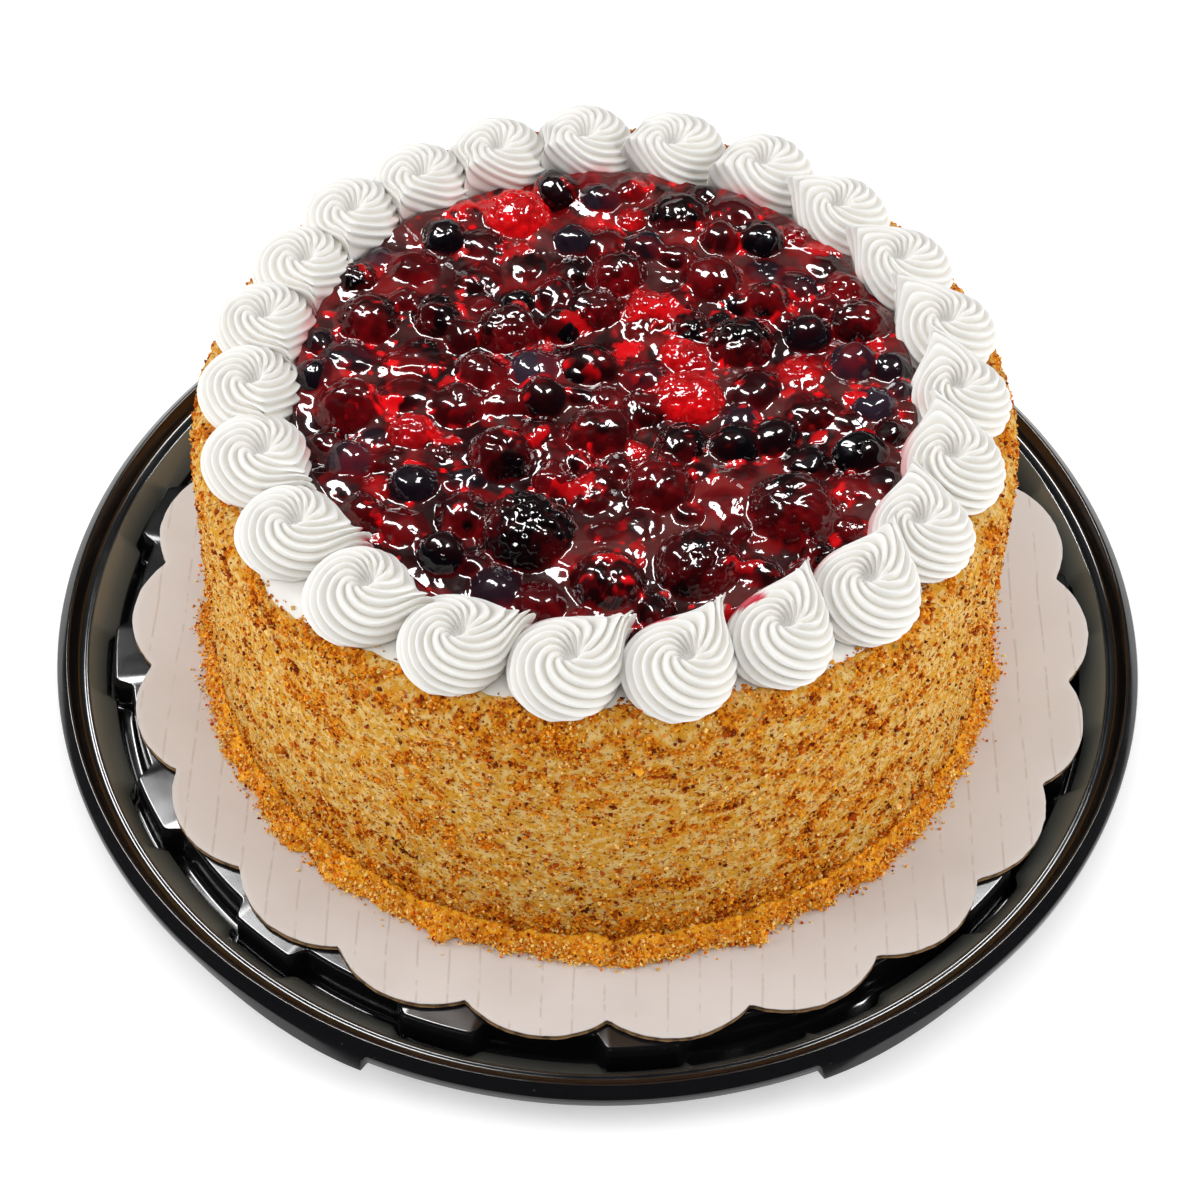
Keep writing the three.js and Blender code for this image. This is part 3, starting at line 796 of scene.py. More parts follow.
def makeFrostedCake(c):
    # the frosting: a wall that leans in slightly, a rounded shoulder and a flat top
    angle = columnAngles(c["columns"])
    arc = c["shoulder"] * math.pi / 2
    rise = np.concatenate([np.linspace(c["bottom"], c["wallTop"], 26)[:-1],
                           np.linspace(c["wallTop"], c["wallTop"] + arc, 16)])[:, None]
    side = frostingSpot(angle, rise)
    marks = c["spatulaMarks"] * layeredNoise(side * [1, 1, 1.6], 14, 3, 71)
    side[..., :2] *= 1 + marks[..., None] / c["topRadius"]
    inner = np.array([0.97, 0.93, 0.88, 0.8, 0.5])[:, None, None]
    top = side[-1:] * [1, 1, 0] * inner + [0, 0, c["top"]]
    points, triangles = closedShell(np.concatenate([side, top]), (0, 0, c["bottom"]), (0, 0, c["top"]))
    # the cake takes a little of the painted crease shade all over
    makePiece("frostedCake", points, triangles, frosting.material, "frosting", ["cake_body"],
              {"stain": np.zeros(len(points)), "creaseShade": np.full(len(points), 0.35)})


def makeFrosting():
    # white, with painted shade that makes it creamier in its creases, pink where juice has reached it
    finish = Finish("frosting", fromScreen(244, 243, 240), 0.5, Specular_IOR_Level=0.3)
    creaseShade = finish.mix(finish.attribute("creaseShade"), fromScreen(245, 244, 241), fromScreen(222, 217, 206))
    finish.feed("Base Color", finish.mix(finish.attribute("stain"), creaseShade, fromScreen(206, 40, 66)))
    finish.roughen(900.0, 3.0, 0.15, 0.0002)
    return finish


def makeCoat(c):
    # a closed ring: its face is the grainy coat, its back lies inside the frosting
    angle = columnAngles(c["columns"])
    rise = np.linspace(c["bottom"], cake["wallTop"] + c["edge"] + c["margin"], c["rows"])[:, None]
    back = frostingSpot(angle, rise[[-1, 0]], -c["backDepth"])
    points, triangles = closedShell(np.concatenate([coatSpot(angle, rise), back]))
    finish = Finish("crumbCoat", fromScreen(226, 204, 156), 0.85, Specular_IOR_Level=0.1)
    cream = finish.blotches(fromScreen(218, 182, 112), fromScreen(206, 146, 36), 520.0, 0.42, 0.14, 0.95)
    golden = finish.blotches(fromScreen(226, 146, 26), fromScreen(186, 92, 6), 900.0, 0.46, 0.15, 0.9)
    colour = finish.mix(finish.attribute("toasted"), cream, golden)
    specked = finish.blotches(colour, fromScreen(140, 58, 8), 1100.0, 0.57, 0.06, 0.85)
    # a painted shadow: the coat darker brown just above the heap
    finish.feed("Base Color", finish.mix(finish.attribute("foot"), specked, fromScreen(128, 66, 8)))
    finish.roughen(1300.0, 4.0, 0.8, 0.0005)
    # the painted shadow's strength, fading out up the wall
    foot = c["shadowStrength"] * (1 - smoothStep(points[:, 2], *c["shadow"]))
    makePiece("crumbCoat", points, triangles, finish.material, "crumbs", ["crumb_coat"],
              {"toasted": toastedness(points), "foot": foot})


# screen colours of crumbs, and how many in a hundred of the pale, toasted and burnt ones have them
crumbColours = [
    ((240, 166, 46), 12, 30, 4),
    ((218, 120, 14), 10, 34, 20),
    ((244, 204, 122), 36, 10, 0),
    ((224, 176, 88), 32, 8, 0),
    ((172, 72, 8), 8, 15, 46),
    ((112, 40, 8), 2, 3, 30),
]


def crumbShapes(count, random):
    # irregular octahedra: six corners at uneven distances, eight faces each
    corners = np.array([(1, 0, 0), (-1, 0, 0), (0, 1, 0), (0, -1, 0), (0, 0, 1), (0, 0, -1)], float)
    faces = np.array([(0, 2, 4), (2, 1, 4), (1, 3, 4), (3, 0, 4),
                      (2, 0, 5), (1, 2, 5), (3, 1, 5), (0, 3, 5)])
    shapes = corners[None] * random.uniform(0.6, 1.25, (count, 6, 1))
    shapes = shapes + random.uniform(-0.25, 0.25, (count, 6, 3))
    return shapes, faces


def randomTurns(count, random):
    # rotation matrices from random unit quaternions
    q = random.normal(size=(count, 4))
    w, x, y, z = (q / np.linalg.norm(q, axis=1, keepdims=True)).T
    return np.stack([
        np.stack([1 - 2 * (y * y + z * z), 2 * (x * y - z * w), 2 * (x * z + y * w)], -1),
        np.stack([2 * (x * y + z * w), 1 - 2 * (x * x + z * z), 2 * (y * z - x * w)], -1),
        np.stack([2 * (x * z - y * w), 2 * (y * z + x * w), 1 - 2 * (x * x + y * y)], -1)], -2)


def crumbMesh(centres, sizes, toasted, burntLevel, random):
    # every crumb: its own shape, turned at random, scaled to its size and put at its centre; where
    # noise passes the burnt level they are burnt, and elsewhere toasted is the chance of golden
    count = len(centres)
    shapes, faces = crumbShapes(count, random)
    turned = np.einsum("kij,kmj->kmi", randomTurns(count, random), shapes)
    points = centres[:, None] + sizes[:, None, None] * turned
    triangles = faces[None] + 6 * np.arange(count)[:, None, None]
    palette = np.array([fromScreen(*row[0]) for row in crumbColours])
    pale, golden, burnt = (
        random.choice(len(palette), count, p=np.array([row[kind] for row in crumbColours]) / 100)
        for kind in (1, 2, 3))
    pick = np.where(random.uniform(size=count) < toasted, golden, pale)
    pick = np.where(softNoise(centres, 2.2, 37) + random.normal(0, 0.2, count) > burntLevel, burnt, pick)
    tint = palette[pick] * random.uniform(0.72, 1.08, (count, 1))
    return points.reshape(-1, 3), triangles.reshape(-1, 3), np.repeat(tint, 6, axis=0)


def makeCrumbFinish():
    # dry, each crumb in its own colour
    finish = Finish("crumbs", fromScreen(214, 150, 66), 0.85, Specular_IOR_Level=0.1)
    finish.feed("Base Color", finish.attribute("tint", "Color"))
    finish.roughen(3000.0, 2.0, 0.5, 0.0002)
    return finish


def makeCrumbs(name, node, centres, sizes, toasted, burntLevel, random, brightness=1.0):
    # one piece of loose crumbs in place of a solid's face
    points, triangles, tint = crumbMesh(centres, sizes, toasted, burntLevel, random)
    makePiece(name, points, triangles, crumbFinish.material, "crumbs", [node],
              {"tint": np.minimum(brightness * tint, 1)}, smooth=False)


wallCrumbs = {
    "count": 46000,
    "throws": 190000,
    "small": 0.24,
    "large": 0.74,
    "big": 380,
    "bigSizes": (0.7, 0.8),  # the least, and how much more the largest one has
    "pieces": 2,
    "burntLevel": 0.38,
    "leastToasted": 0.25,
}

# clusters of dark crumbs that the photo shows: angle, height and number of crumbs
darkSpots = [(242.6, 40.1, 18), (269.1, 31.4, 10), (214.4, 74.3, 12), (244.0, 38.6, 8)]


def makeWallCrumbs(w):
    # crumbs thrown evenly at the side; one stays with a chance that grows with the toastedness
    random = np.random.default_rng(5)
    angle = random.uniform(0, 360, w["throws"])
    rise = random.uniform(coat["bottom"], cake["wallTop"] + coat["edge"] + coat["margin"], w["throws"])
    spot = coatSpot(angle, rise)
    chance = (0.1 + 0.9 * toastedness(spot) ** 1.5) * smoothStep(coatEdge(angle) - rise, -1.8, 0.3)
    kept = np.flatnonzero(random.uniform(size=w["throws"]) < chance)[:w["count"]]
    angle, rise = angle[kept], rise[kept]
    toasted = w["leastToasted"] + (1 - w["leastToasted"]) * toastedness(spot[kept])
    covered = coatCover(angle, rise)[:, None]
    centres = spot[kept] * covered + frostingSpot(angle, rise, 0.1) * (1 - covered)
    sizes = w["small"] + (w["large"] - w["small"]) * random.uniform(size=len(kept)) ** 1.8
    centres[:, :2] *= 1 + 0.25 * sizes[:, None] / cake["topRadius"]
    big = random.choice(len(kept), w["big"], replace=False)
    least, more = w["bigSizes"]
    sizes[big] = least + more * random.uniform(size=w["big"]) ** 3
    for number, part in enumerate(np.array_split(np.arange(len(kept)), w["pieces"]), 1):
        makeCrumbs(f"wallCrumbs{number}", "crumb_coat", centres[part], sizes[part], toasted[part],
                   w["burntLevel"], random)
    spots = np.array(darkSpots)
    around, rise = np.repeat(spots[:, :2], spots[:, 2].astype(int), axis=0).T
    around = around + random.normal(0, 0.7, len(around))
    rise = rise + random.normal(0, 0.9, len(rise))
    # every one of these is burnt, whatever the noise says
    makeCrumbs("darkCrumbs", "crumb_coat", coatSpot(around, rise), random.uniform(0.4, 0.9, len(rise)),
               0.5, -math.inf, random, brightness=0.6)


heap = {
    "height": 6.4,
    "reach": 4.6,
    "inset": 0.6,
    "columns": 900,
    "rows": 18,
    "bumps": 0.55,
    "backRadius": 98.0,
    "backHeights": (5.0, 0.1),
    "crumbs": 22000,
    "crumbSizes": (0.22, 0.4),  # the least, and how much more the largest one has
    "fuzz": 0.85,
    "strays": 420,
    "straySizes": (0.28, 0.5),
    "strayRadius": 105.6,
    "burntLevel": 0.8,
    "toasted": 0.38,
    "brightness": 1.3,
}


def heapSpot(angle, share, lift=0.0):
    # the heap's slope from the card (0) to the wall (1): its reach and height wander with noise
    spot = polar(103.0, angle, 0.0)
    reach = heap["reach"] * (0.86 + 0.42 * layeredNoise(spot, 5, 3, 81))
    climb = heap["height"] * (0.84 + 0.34 * layeredNoise(spot, 6, 3, 91))
    foot = wallRadius(cake["bottom"]) + spreadWobble(angle, cake["bottom"]) - heap["inset"]
    radius = foot + reach * (1 - share) ** 1.25 + lift
    return polar(radius, angle, cake["bottom"] + 0.1 + climb * share ** 0.9 + 0.6 * np.abs(lift))


def makeHeap(h):
    # a bumpy ring, the grains on it and strays on the card
    angle = columnAngles(h["columns"])
    share = np.linspace(0, 1, h["rows"])[:, None]
    bumps = layeredNoise(heapSpot(angle, share), 2.6, 2, 101) * np.sin(math.pi * np.clip(share, 0.08, 1))
    slope = heapSpot(angle, share, h["bumps"] * bumps)
    back = polar(h["backRadius"], angle, cake["bottom"] + np.array(h["backHeights"])[:, None])
    points, triangles = closedShell(np.concatenate([slope, back]))
    finish = Finish("crumbHeap", fromScreen(212, 148, 56), 0.9, Specular_IOR_Level=0.1)
    mottled = finish.blotches(fromScreen(250, 180, 48), fromScreen(216, 120, 10), 650.0, 0.47, 0.16, 0.95)
    finish.feed("Base Color", mottled)
    finish.roughen(1500.0, 4.0, 0.8, 0.0004)
    makePiece("crumbHeap", points, triangles, finish.material, "crumbs", ["crumb_skirt"])
    random = np.random.default_rng(9)
    spread = random.uniform(0, 360, h["crumbs"])
    centres = heapSpot(spread, random.beta(0.9, 1.5, h["crumbs"]), random.normal(0, h["fuzz"], h["crumbs"]))
    least, more = h["crumbSizes"]
    sizes = least + more * random.uniform(size=h["crumbs"]) ** 2
    stray = random.uniform(0, 360, h["strays"])
    straySizes = random.uniform(*h["straySizes"], h["strays"])
    ground = card["bottom"] + card["thickness"] + 0.6 * straySizes
    loose = polar(h["strayRadius"] + random.exponential(0.9, h["strays"]), stray, ground)
    makeCrumbs("heapCrumbs", "crumb_skirt", np.concatenate([centres, loose]),
               np.concatenate([sizes, straySizes]), h["toasted"], h["burntLevel"], random,
               brightness=h["brightness"])


frosting = makeFrosting()
crumbFinish = makeCrumbFinish()
makeFrostedCake(cake)
makeCoat(coat)
makeWallCrumbs(wallCrumbs)
makeHeap(heap)


# piped swirls

swirls = {
    "count": 23,
    "firstAngle": 186.3,
    "drift": [(1, 2.3, -100), (2, 2.1, -123)],  # waves round the ring, degrees, phase
    "ringRadius": 85.5,
    "radius": 12.6,
    "height": 11.4,
    "bottom": 101.1,
    "ridges": 12,
    "columnsPerRidge": 14,
    "rows": 38,
    "ridgeDepth": 1.3,
    "turn": 235.0,
    "tailLength": 8.2,
    "tailInward": 32.0,
    "tallest": 113.2,
    # what the back ones have less of, and how far hand-made ones differ
    "shorterTails": 0.7,
    "shallowerRidges": 0.35,
    "sizeWander": 0.03,
    "turnWander": 20,
    "tailWander": 14,
    "tailRange": (0.75, 1.15),
    "eye": (1.8, 1.0),
    "eyeWander": 0.9,
    "ringWander": 0.6,
    "bend": 0.35,
    "bendSize": 8,
    # the tail: how narrow it is pinched, and how far its start and its tip are lifted
    "pinch": 0.93,
    "tailLift": (3.0, 2.4),
}

# the dome's profile from its eye to its foot, as shares of radius and height
swirlProfile = [(0.0, 0.6), (0.1, 0.63), (0.2, 0.84), (0.32, 1.0), (0.48, 0.99), (0.68, 0.88),
                (0.86, 0.68), (0.97, 0.42), (0.99, 0.2), (0.94, 0.0)]


def evenCurve(knots, count):
    # the smooth curve through the knots with its points spaced evenly along its length
    fine = smoothCurve(knots, 400)
    along = np.concatenate([[0], np.cumsum(np.linalg.norm(np.diff(fine, axis=0), axis=1))])
    wanted = np.linspace(0, along[-1], count)
    return np.stack([np.interp(wanted, along, fine[:, axis]) for axis in range(fine.shape[1])], -1)


def swirlAngle(s, index):
    # even steps round the ring, plus two slow waves that bunch the swirls as in the photo
    around = 360 * index / s["count"]
    drift = sum(degrees * math.sin(math.radians(waves * around + phase))
                for waves, degrees, phase in s["drift"])
    return s["firstAngle"] + around + drift


def swirlShell(s, index):
    # columns follow the ridges: they leave the eye and wind round more and more on the way down
    random = np.random.default_rng(200 + index)
    size = 1 + random.uniform(-s["sizeWander"], s["sizeWander"])
    turn = math.radians(s["turn"] + random.uniform(-s["turnWander"], s["turnWander"]))
    tail = math.radians(s["tailInward"] + random.uniform(-s["tailWander"], s["tailWander"]))
    tailLength = s["tailLength"] * random.uniform(*s["tailRange"])
    middle = math.radians(swirlAngle(s, index))
    towardsBack = max(0, math.sin(middle))
    tailLength *= 1 - s["shorterTails"] * towardsBack
    eye = np.array(s["eye"]) + random.uniform(-s["eyeWander"], s["eyeWander"], 2)
    columns = s["ridges"] * s["columnsPerRidge"]
    profile = evenCurve(np.array(swirlProfile) * [s["radius"] * size, s["height"]], s["rows"])[1:]
    slope = np.gradient(profile, axis=0)
    outward = np.stack([-slope[:, 1], slope[:, 0]], -1) / np.linalg.norm(slope, axis=1, keepdims=True)
    share = np.linspace(0, 1, s["rows"])[1:, None]
    start = np.linspace(0, 2 * math.pi, columns, endpoint=False)[None]
    direction = start + random.uniform(0, 6) + turn * share ** 1.1
    phase = s["ridges"] * start / 2
    ridge = np.abs(np.cos(phase + 0.3 * np.sin(2 * phase))) ** 0.8
    ridge = ridge * (1 + 0.12 * np.sin(2.3 * start + index) * np.sin(3.7 * start + 5 * share))
    # the ridges are shallow at the eye, where they meet, and at the foot
    depth = np.minimum(s["ridgeDepth"], 0.2 * profile[:, :1] + 0.1)
    depth = depth * (1 - 0.7 * smoothStep(share, 0.88, 1))
    lift = (ridge - 0.8) * depth * (1 - s["shallowerRidges"] * towardsBack)
    radius = profile[:, :1] + lift * outward[:, :1]
    height = profile[:, 1:] + lift * outward[:, 1:]
    fade = (1 - share) ** 2
    x = radius * np.cos(direction) + eye[0] * fade
    y = radius * np.sin(direction) + eye[1] * fade
    # the tail: drawn out along its direction, pinched across it, and lifted towards its tip
    along = x * math.cos(tail) + y * math.sin(tail)
    across = -x * math.sin(tail) + y * math.cos(tail)
    window = np.exp(-((across / s["radius"] + 0.15) / 0.62) ** 2)
    pull = smoothStep(along / s["radius"], 0.25, 1.05) * window
    along = along + tailLength * pull ** 1.3
    pinch = smoothStep(along / (s["radius"] + tailLength), 0.42, 1.0)
    across = across * (1 - s["pinch"] * pinch)
    startLift, tipLift = s["tailLift"]
    height = height + (startLift * pull + tipLift * pinch) * smoothStep(height, 0.5, 6)
    x = along * math.cos(tail) - across * math.sin(tail)
    y = along * math.sin(tail) + across * math.cos(tail)
    # hand-made: bent a little, then x runs along the ring and y towards the cake's middle
    place = np.stack([x, y, height], -1) + 50 * index
    x, y = (flat + s["bend"] * softNoise(place, s["bendSize"], seed) for flat, seed in ((x, 211), (y, 212)))
    distance = s["ringRadius"] + random.uniform(-s["ringWander"], s["ringWander"]) - y
    points = np.stack([distance * math.cos(middle) - x * math.sin(middle),
                       distance * math.sin(middle) + x * math.cos(middle),
                       np.minimum(s["bottom"] + height, s["tallest"])], -1)
    # painted shade: the creases between the ridges darker and creamier
    creaseShade = np.broadcast_to((1 - ridge) ** 1.3 * smoothStep(depth, 0.1, 0.9), height.shape)
    shell = closedShell(points, points[0].mean(axis=0), points[-1].mean(axis=0))
    return shell, np.concatenate([creaseShade.ravel(), [0.3, 0]])


# where juice has dropped on the swirls: x, y, radius
juiceDrops = [(31.6, -68.0, 2.4), (34.6, -68.0, 1.8), (11.4, -72.6, 2.2), (15.0, -74.0, 1.4),
              (-53.5, -51.0, 1.4)]


# the pink of the swirls' inner sides: its strength, and the heights and distances from the
# cake's axis between which it ends
stain = {
    "strength": 0.7,
    "heights": (106.0, 111.5),
    "reach": (73.5, 78.5),
    "dropEdge": 0.8,
    "dropWander": 0.7,
}


def stainOf(points):
    # pink where the inner sides of the swirls stand in the glaze, in patches, and on the drops
    reach = np.hypot(points[:, 0], points[:, 1])
    patches = smoothStep(layeredNoise(points, 9, 3, 111), -0.2, 0.7)
    low = 1 - smoothStep(points[:, 2], *stain["heights"])
    pink = stain["strength"] * patches * low * (1 - smoothStep(reach, *stain["reach"]))
    for x, y, size in juiceDrops:
        away = np.hypot(points[:, 0] - x, points[:, 1] - y)
        away = away + stain["dropWander"] * softNoise(points, 1.6, 112)
        pink = np.maximum(pink, 1 - smoothStep(away, size, size + stain["dropEdge"]))
    return pink


def makeSwirls(s):
    # the first twelve, counted from the left, are at the front
    made = [swirlShell(s, index) for index in range(s["count"])]
    halves = {"swirlsFront": range(0, 12), "swirlsBack": range(12, s["count"])}
    for name, members in halves.items():
        points, triangles = joined([made[index][0] for index in members])
        creaseShade = np.concatenate([made[index][1] for index in members])
        nodes = [f"swirl_{index + 1:02d}" for index in members]
        makePiece(name, points, triangles, frosting.material, "frosting", nodes,
                  {"stain": stainOf(points), "creaseShade": creaseShade})


makeSwirls(swirls)


# berries and glaze

topping = {
    "level": 105.3,
    "swells": 1.1,
    "swellSize": 17,
    "folds": 0.9,
    "foldSize": 13,
    "lumps": 0.45,
    "lumpSize": 5.5,
    "edgeRadius": 76.4,
    "edgeFall": 2.4,
    "bottom": 101.2,
    "foot": 101.5,
    "grid": 306,
    "reach": 75.6,
    "fillCount": 90,
    "fillSizes": (15.0, 6.0),
    "throws": 60,
    "rise": (0.15, 0.8),  # how far a small berry's top stands above the level, as shares of its radius
    "tallest": 113.2,
    "headroom": 0.6,
    "film": 0.85,
    "filmWander": 0.6,
    "capDepth": 2.5,
    "drape": 26,
    "clearDepth": 1.3,  # of syrup, at which it hides two thirds of what lies under it
    "openBlur": 6,
    "openDepths": (1.2, 3.4),
    "redBits": 760,
    "ripple": 0.05,
}

syrupColours = {
    "deep": (40, 2, 5),
    # the open pools' colour: the syrup's red lightened by a painted milky reflection
    "pool": (102, 44, 42),
    "flesh": (160, 8, 15),
    "edge": (124, 6, 12),
    "red": (250, 12, 22),
}

# each kind of fruit: slot, drupelet size (0 for a smooth skin), flatness, the least and the most
# syrup on it, its share of the small ones placed at random, and screen colours of its usual and
# its redder parts with the redder ones' share
fruitKinds = {
    "bramble": {"slot": "bramble", "pitch": 3.7, "flat": 0.78, "film": (0.1, 1.1), "share": 0.42,
                "colours": ((8, 1, 3), (132, 6, 14)), "redder": 0.19},
    "raspberry": {"slot": "raspberry", "pitch": 3.0, "flat": 0.78, "film": (-0.3, 0.3), "share": 0.08,
                  "colours": ((214, 10, 16), (120, 5, 12)), "redder": 0.35},
    "blueberry": {"slot": "blueberry", "pitch": 0, "flat": 0.84, "film": (0.3, 1.2), "share": 0.26,
                  "colours": ((6, 3, 7), (52, 38, 52)), "redder": 0.35},
    "cherry": {"slot": "glaze", "pitch": 0, "flat": 0.8, "film": (0.3, 1.4), "share": 0.24,
               "colours": ((14, 1, 4), (132, 6, 14)), "redder": 0.25},
}

# smaller fruit at places that the photo shows: kind, x, y, diameter
placedFruit = [
    ("cherry", -13.4, -67.0, 12), ("blueberry", 69.0, 8.0, 11), ("blueberry", 66.0, -28.0, 11),
    ("raspberry", 5.6, 57.5, 8), ("blueberry", 47.5, 35.9, 11), ("bramble", -30.0, 4.0, 13),
    ("bramble", -44.0, 9.0, 14), ("raspberry", -48.2, -15.9, 8), ("bramble", 10.0, 20.0, 12),
    ("cherry", -13.0, 30.0, 12), ("cherry", 1.0, -47.0, 10), ("cherry", 36.0, -57.0, 11),
    ("bramble", -55.0, -42.0, 11), ("bramble", -62.0, 34.0, 11), ("raspberry", 61.6, -15.2, 7),
    ("raspberry", -54.5, 23.5, 8),
]

# flesh and skins near the surface, as the photo shows them: x, y, length, width, turn
redPlaces = [
    (-25.6, 65.5, 28, 9, 8), (-36.0, 60.0, 14, 8, 30), (10.4, 25.9, 17, 11, 0), (51.0, -14.0, 6, 3.6, 20),
    (54.0, 48.6, 15, 6, -15), (-6.4, -33.2, 13, 8, 0), (-15.1, -17.9, 7, 5, 40), (-59.0, 35.4, 7, 5, 0),
    (2.7, -58.0, 9, 5, 10), (-52.0, -8.0, 7, 10, 20), (-38.0, -18.0, 9, 4, 0), (33.0, -56.0, 9, 4, 15),
    (-24.0, 44.0, 9, 6, 20), (4.0, 12.0, 10, 7, 60), (60.0, -2.0, 6, 9, 10), (-8.0, 20.0, 8, 6, 0),
]


def nodeFruit(kind):
    # each berry of the solids, as kind, x, y, radius and top, from its box
    found = []
    for name in fruitNodes(kind):
        low, high = (np.array(corner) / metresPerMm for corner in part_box(name))
        middle, size = (low + high) / 2, high - low
        found.append((kind, middle[0], middle[1], (size[0] + size[1]) / 4, high[2]))
    return found


def fruitNodes(kind):
    # names of the solids of one kind of berry, in order
    return [name for name in sorted(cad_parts) if name.startswith(kind + "_")]


def scatterFruit(t, taken, random):
    # each next one, from large to small, takes the roomiest of some random places
    others = np.array(taken)
    found = []
    for size in np.linspace(*t["fillSizes"], t["fillCount"]):
        reach = (t["reach"] - size / 2) * np.sqrt(random.uniform(size=t["throws"]))
        turn = random.uniform(0, 2 * math.pi, t["throws"])
        place = np.stack([reach * np.cos(turn), reach * np.sin(turn)], -1)
        apart = np.linalg.norm(place[:, None] - others[None, :, :2], axis=-1)
        best = np.argmax((apart - others[:, 2]).min(axis=1))
        found.append((*place[best], size / 2))
        others = np.vstack([others, found[-1]])
    return found


def layFruit(t):
    # the solids' berries, those placed by the photo, and small ones where there is room
    random = np.random.default_rng(12)
    rows = [row for kind in ("bramble", "raspberry", "blueberry") for row in nodeFruit(kind)]
    large = len(rows)
    small = [(kind, x, y, size / 2) for kind, x, y, size in placedFruit]
    taken = [row[1:4] for row in rows] + [row[1:] for row in small]
    shares = [settings["share"] for settings in fruitKinds.values()]
    kinds = random.choice(list(fruitKinds), t["fillCount"], p=shares)
    small += [(kind, *place) for kind, place in zip(kinds, scatterFruit(t, taken, random))]
    for kind, x, y, radius in small:
        rise = radius * random.uniform(*t["rise"])
        rows.append((kind, x, y, radius, min(t["level"] + rise, t["tallest"] - t["headroom"])))
    return [makeFruit(row, index < large, random) for index, row in enumerate(rows)]


def evenDirections(count, random):
    # directions spread over a ball by the golden angle, each nudged a little
    order = np.arange(count) + 0.5
    up = 1 - 2 * order / count
    turn = order * math.pi * (3 - math.sqrt(5))
    side = np.sqrt(1 - up ** 2)
    found = np.stack([side * np.cos(turn), side * np.sin(turn), up], -1)
    found = found + random.normal(0, 0.5 / math.sqrt(count), found.shape)
    return found / np.linalg.norm(found, axis=1, keepdims=True)


def makeFruit(row, isLarge, random):
    # an ellipsoid core turned about Z and, on brambles and raspberries, its drupelets' balls
    kind, x, y, radius, top = row
    k = fruitKinds[kind]
    stretch = 1 + random.uniform(0, 0.06 if isLarge else 0.16)
    axes = radius * np.array([stretch, 1 / stretch, k["flat"]])
    turn = random.uniform(0, math.pi)
    spin = np.array([[math.cos(turn), math.sin(turn), 0], [-math.sin(turn), math.cos(turn), 0],
                     [0, 0, 1]])
    usual, redder = (fromScreen(*colour) for colour in k["colours"])
    fruit = {"kind": kind, "isLarge": isLarge, "middle": np.array([x, y, top - axes[2]]), "spin": spin,
             "radius": radius, "core": axes, "balls": np.zeros((0, 3)), "sizes": np.zeros(0)}
    if k["pitch"]:
        pitch = min(k["pitch"], radius * 0.5) * random.uniform(0.85, 1.1)
        count = max(14, round(4 * math.pi * radius ** 2 * 0.9 / (0.866 * pitch ** 2)))
        sizes = 0.58 * pitch * random.uniform(0.85, 1.12, count)
        fruit["balls"] = evenDirections(count, random) * (axes - sizes[:, None])
        fruit["sizes"] = sizes
        fruit["core"] = axes - 0.5 * pitch
    spots = np.vstack([fruit["balls"], [0, 0, 0]]) / radius
    lean = random.beta(0.7, 0.7 / k["redder"] - 0.7) + 0.35 * softNoise(spots + 9 * x, 0.8, 5)
    lean = np.clip(lean + random.normal(0, 0.08, len(spots)), 0, 1)
    fruit["colours"] = blend(usual, redder, lean) * random.uniform(0.85, 1.2, (len(lean), 1))
    return fruit


def castFruit(fruit, directions, film):
    # distance from the middle to the furthest ball or the core along each direction, rounded off
    # as k log(sum exp(distance / k)), and the colour of whichever is furthest
    core = 1 / np.linalg.norm(directions / fruit["core"], axis=-1)
    aim = directions @ fruit["balls"].T
    inside = aim ** 2 - np.sum(fruit["balls"] ** 2, axis=1) + fruit["sizes"] ** 2
    reach = np.where((inside > 0) & (aim > 0), aim + np.sqrt(np.maximum(inside, 0)), 0)
    reach = np.concatenate([reach, core[..., None]], -1)
    furthest = reach.max(axis=-1, keepdims=True)
    soft = furthest[..., 0] + film * np.log(np.exp((reach - furthest) / film).sum(axis=-1))
    return np.minimum(soft, furthest[..., 0] + 0.4 * film), fruit["colours"][reach.argmax(axis=-1)]


def fruitShell(fruit, rows, columns, film, random):
    # rays from the middle, down to a tilt below which syrup hides the berry
    lowest = 120 if len(fruit["sizes"]) else 176
    tilt = np.radians(np.linspace(0, lowest, rows + 1)[1:])[:, None]
    turn = np.linspace(0, 2 * math.pi, columns, endpoint=False)[None]
    directions = np.stack([np.sin(tilt) * np.cos(turn), np.sin(tilt) * np.sin(turn),
                           np.cos(tilt) + 0 * turn], -1)
    reach, colours = castFruit(fruit, directions, film)
    lean = np.eye(3)
    if not len(fruit["sizes"]):
        # a smooth berry: dented a little, with a five-pointed crown round a pit on a blueberry
        reach = reach * (1 + 0.09 * layeredNoise(directions * 2 + fruit["middle"], 1.4, 2, 7))
        if fruit["kind"] == "blueberry":
            degrees = np.degrees(tilt)
            star = 0.55 + 0.45 * np.cos(5 * turn + random.uniform(0, 6))
            reach = reach + 0.10 * fruit["radius"] * star * np.exp(-((degrees - 22) / 6) ** 2)
            reach = reach - 0.14 * fruit["radius"] * (1 - smoothStep(degrees, 9, 21))
        lean = Matrix.Rotation(math.radians(random.uniform(10, 80)), 3, "X")
        lean = np.array(Matrix.Rotation(random.uniform(0, 2 * math.pi), 3, "Z") @ lean)
    points = directions * reach[..., None] @ lean.T @ fruit["spin"] + fruit["middle"]
    spots = layeredNoise(points, 2.2, 2, 171)[..., None]
    colours = colours * (1 + 0.3 * spots)
    points[..., 2] = np.maximum(points[..., 2], topping["foot"])
    shell = closedShell(points, points[0].mean(axis=0), points[-1].mean(axis=0))
    return shell, np.concatenate([colours.reshape(-1, 3), colours[0, :1], colours[-1, :1]])


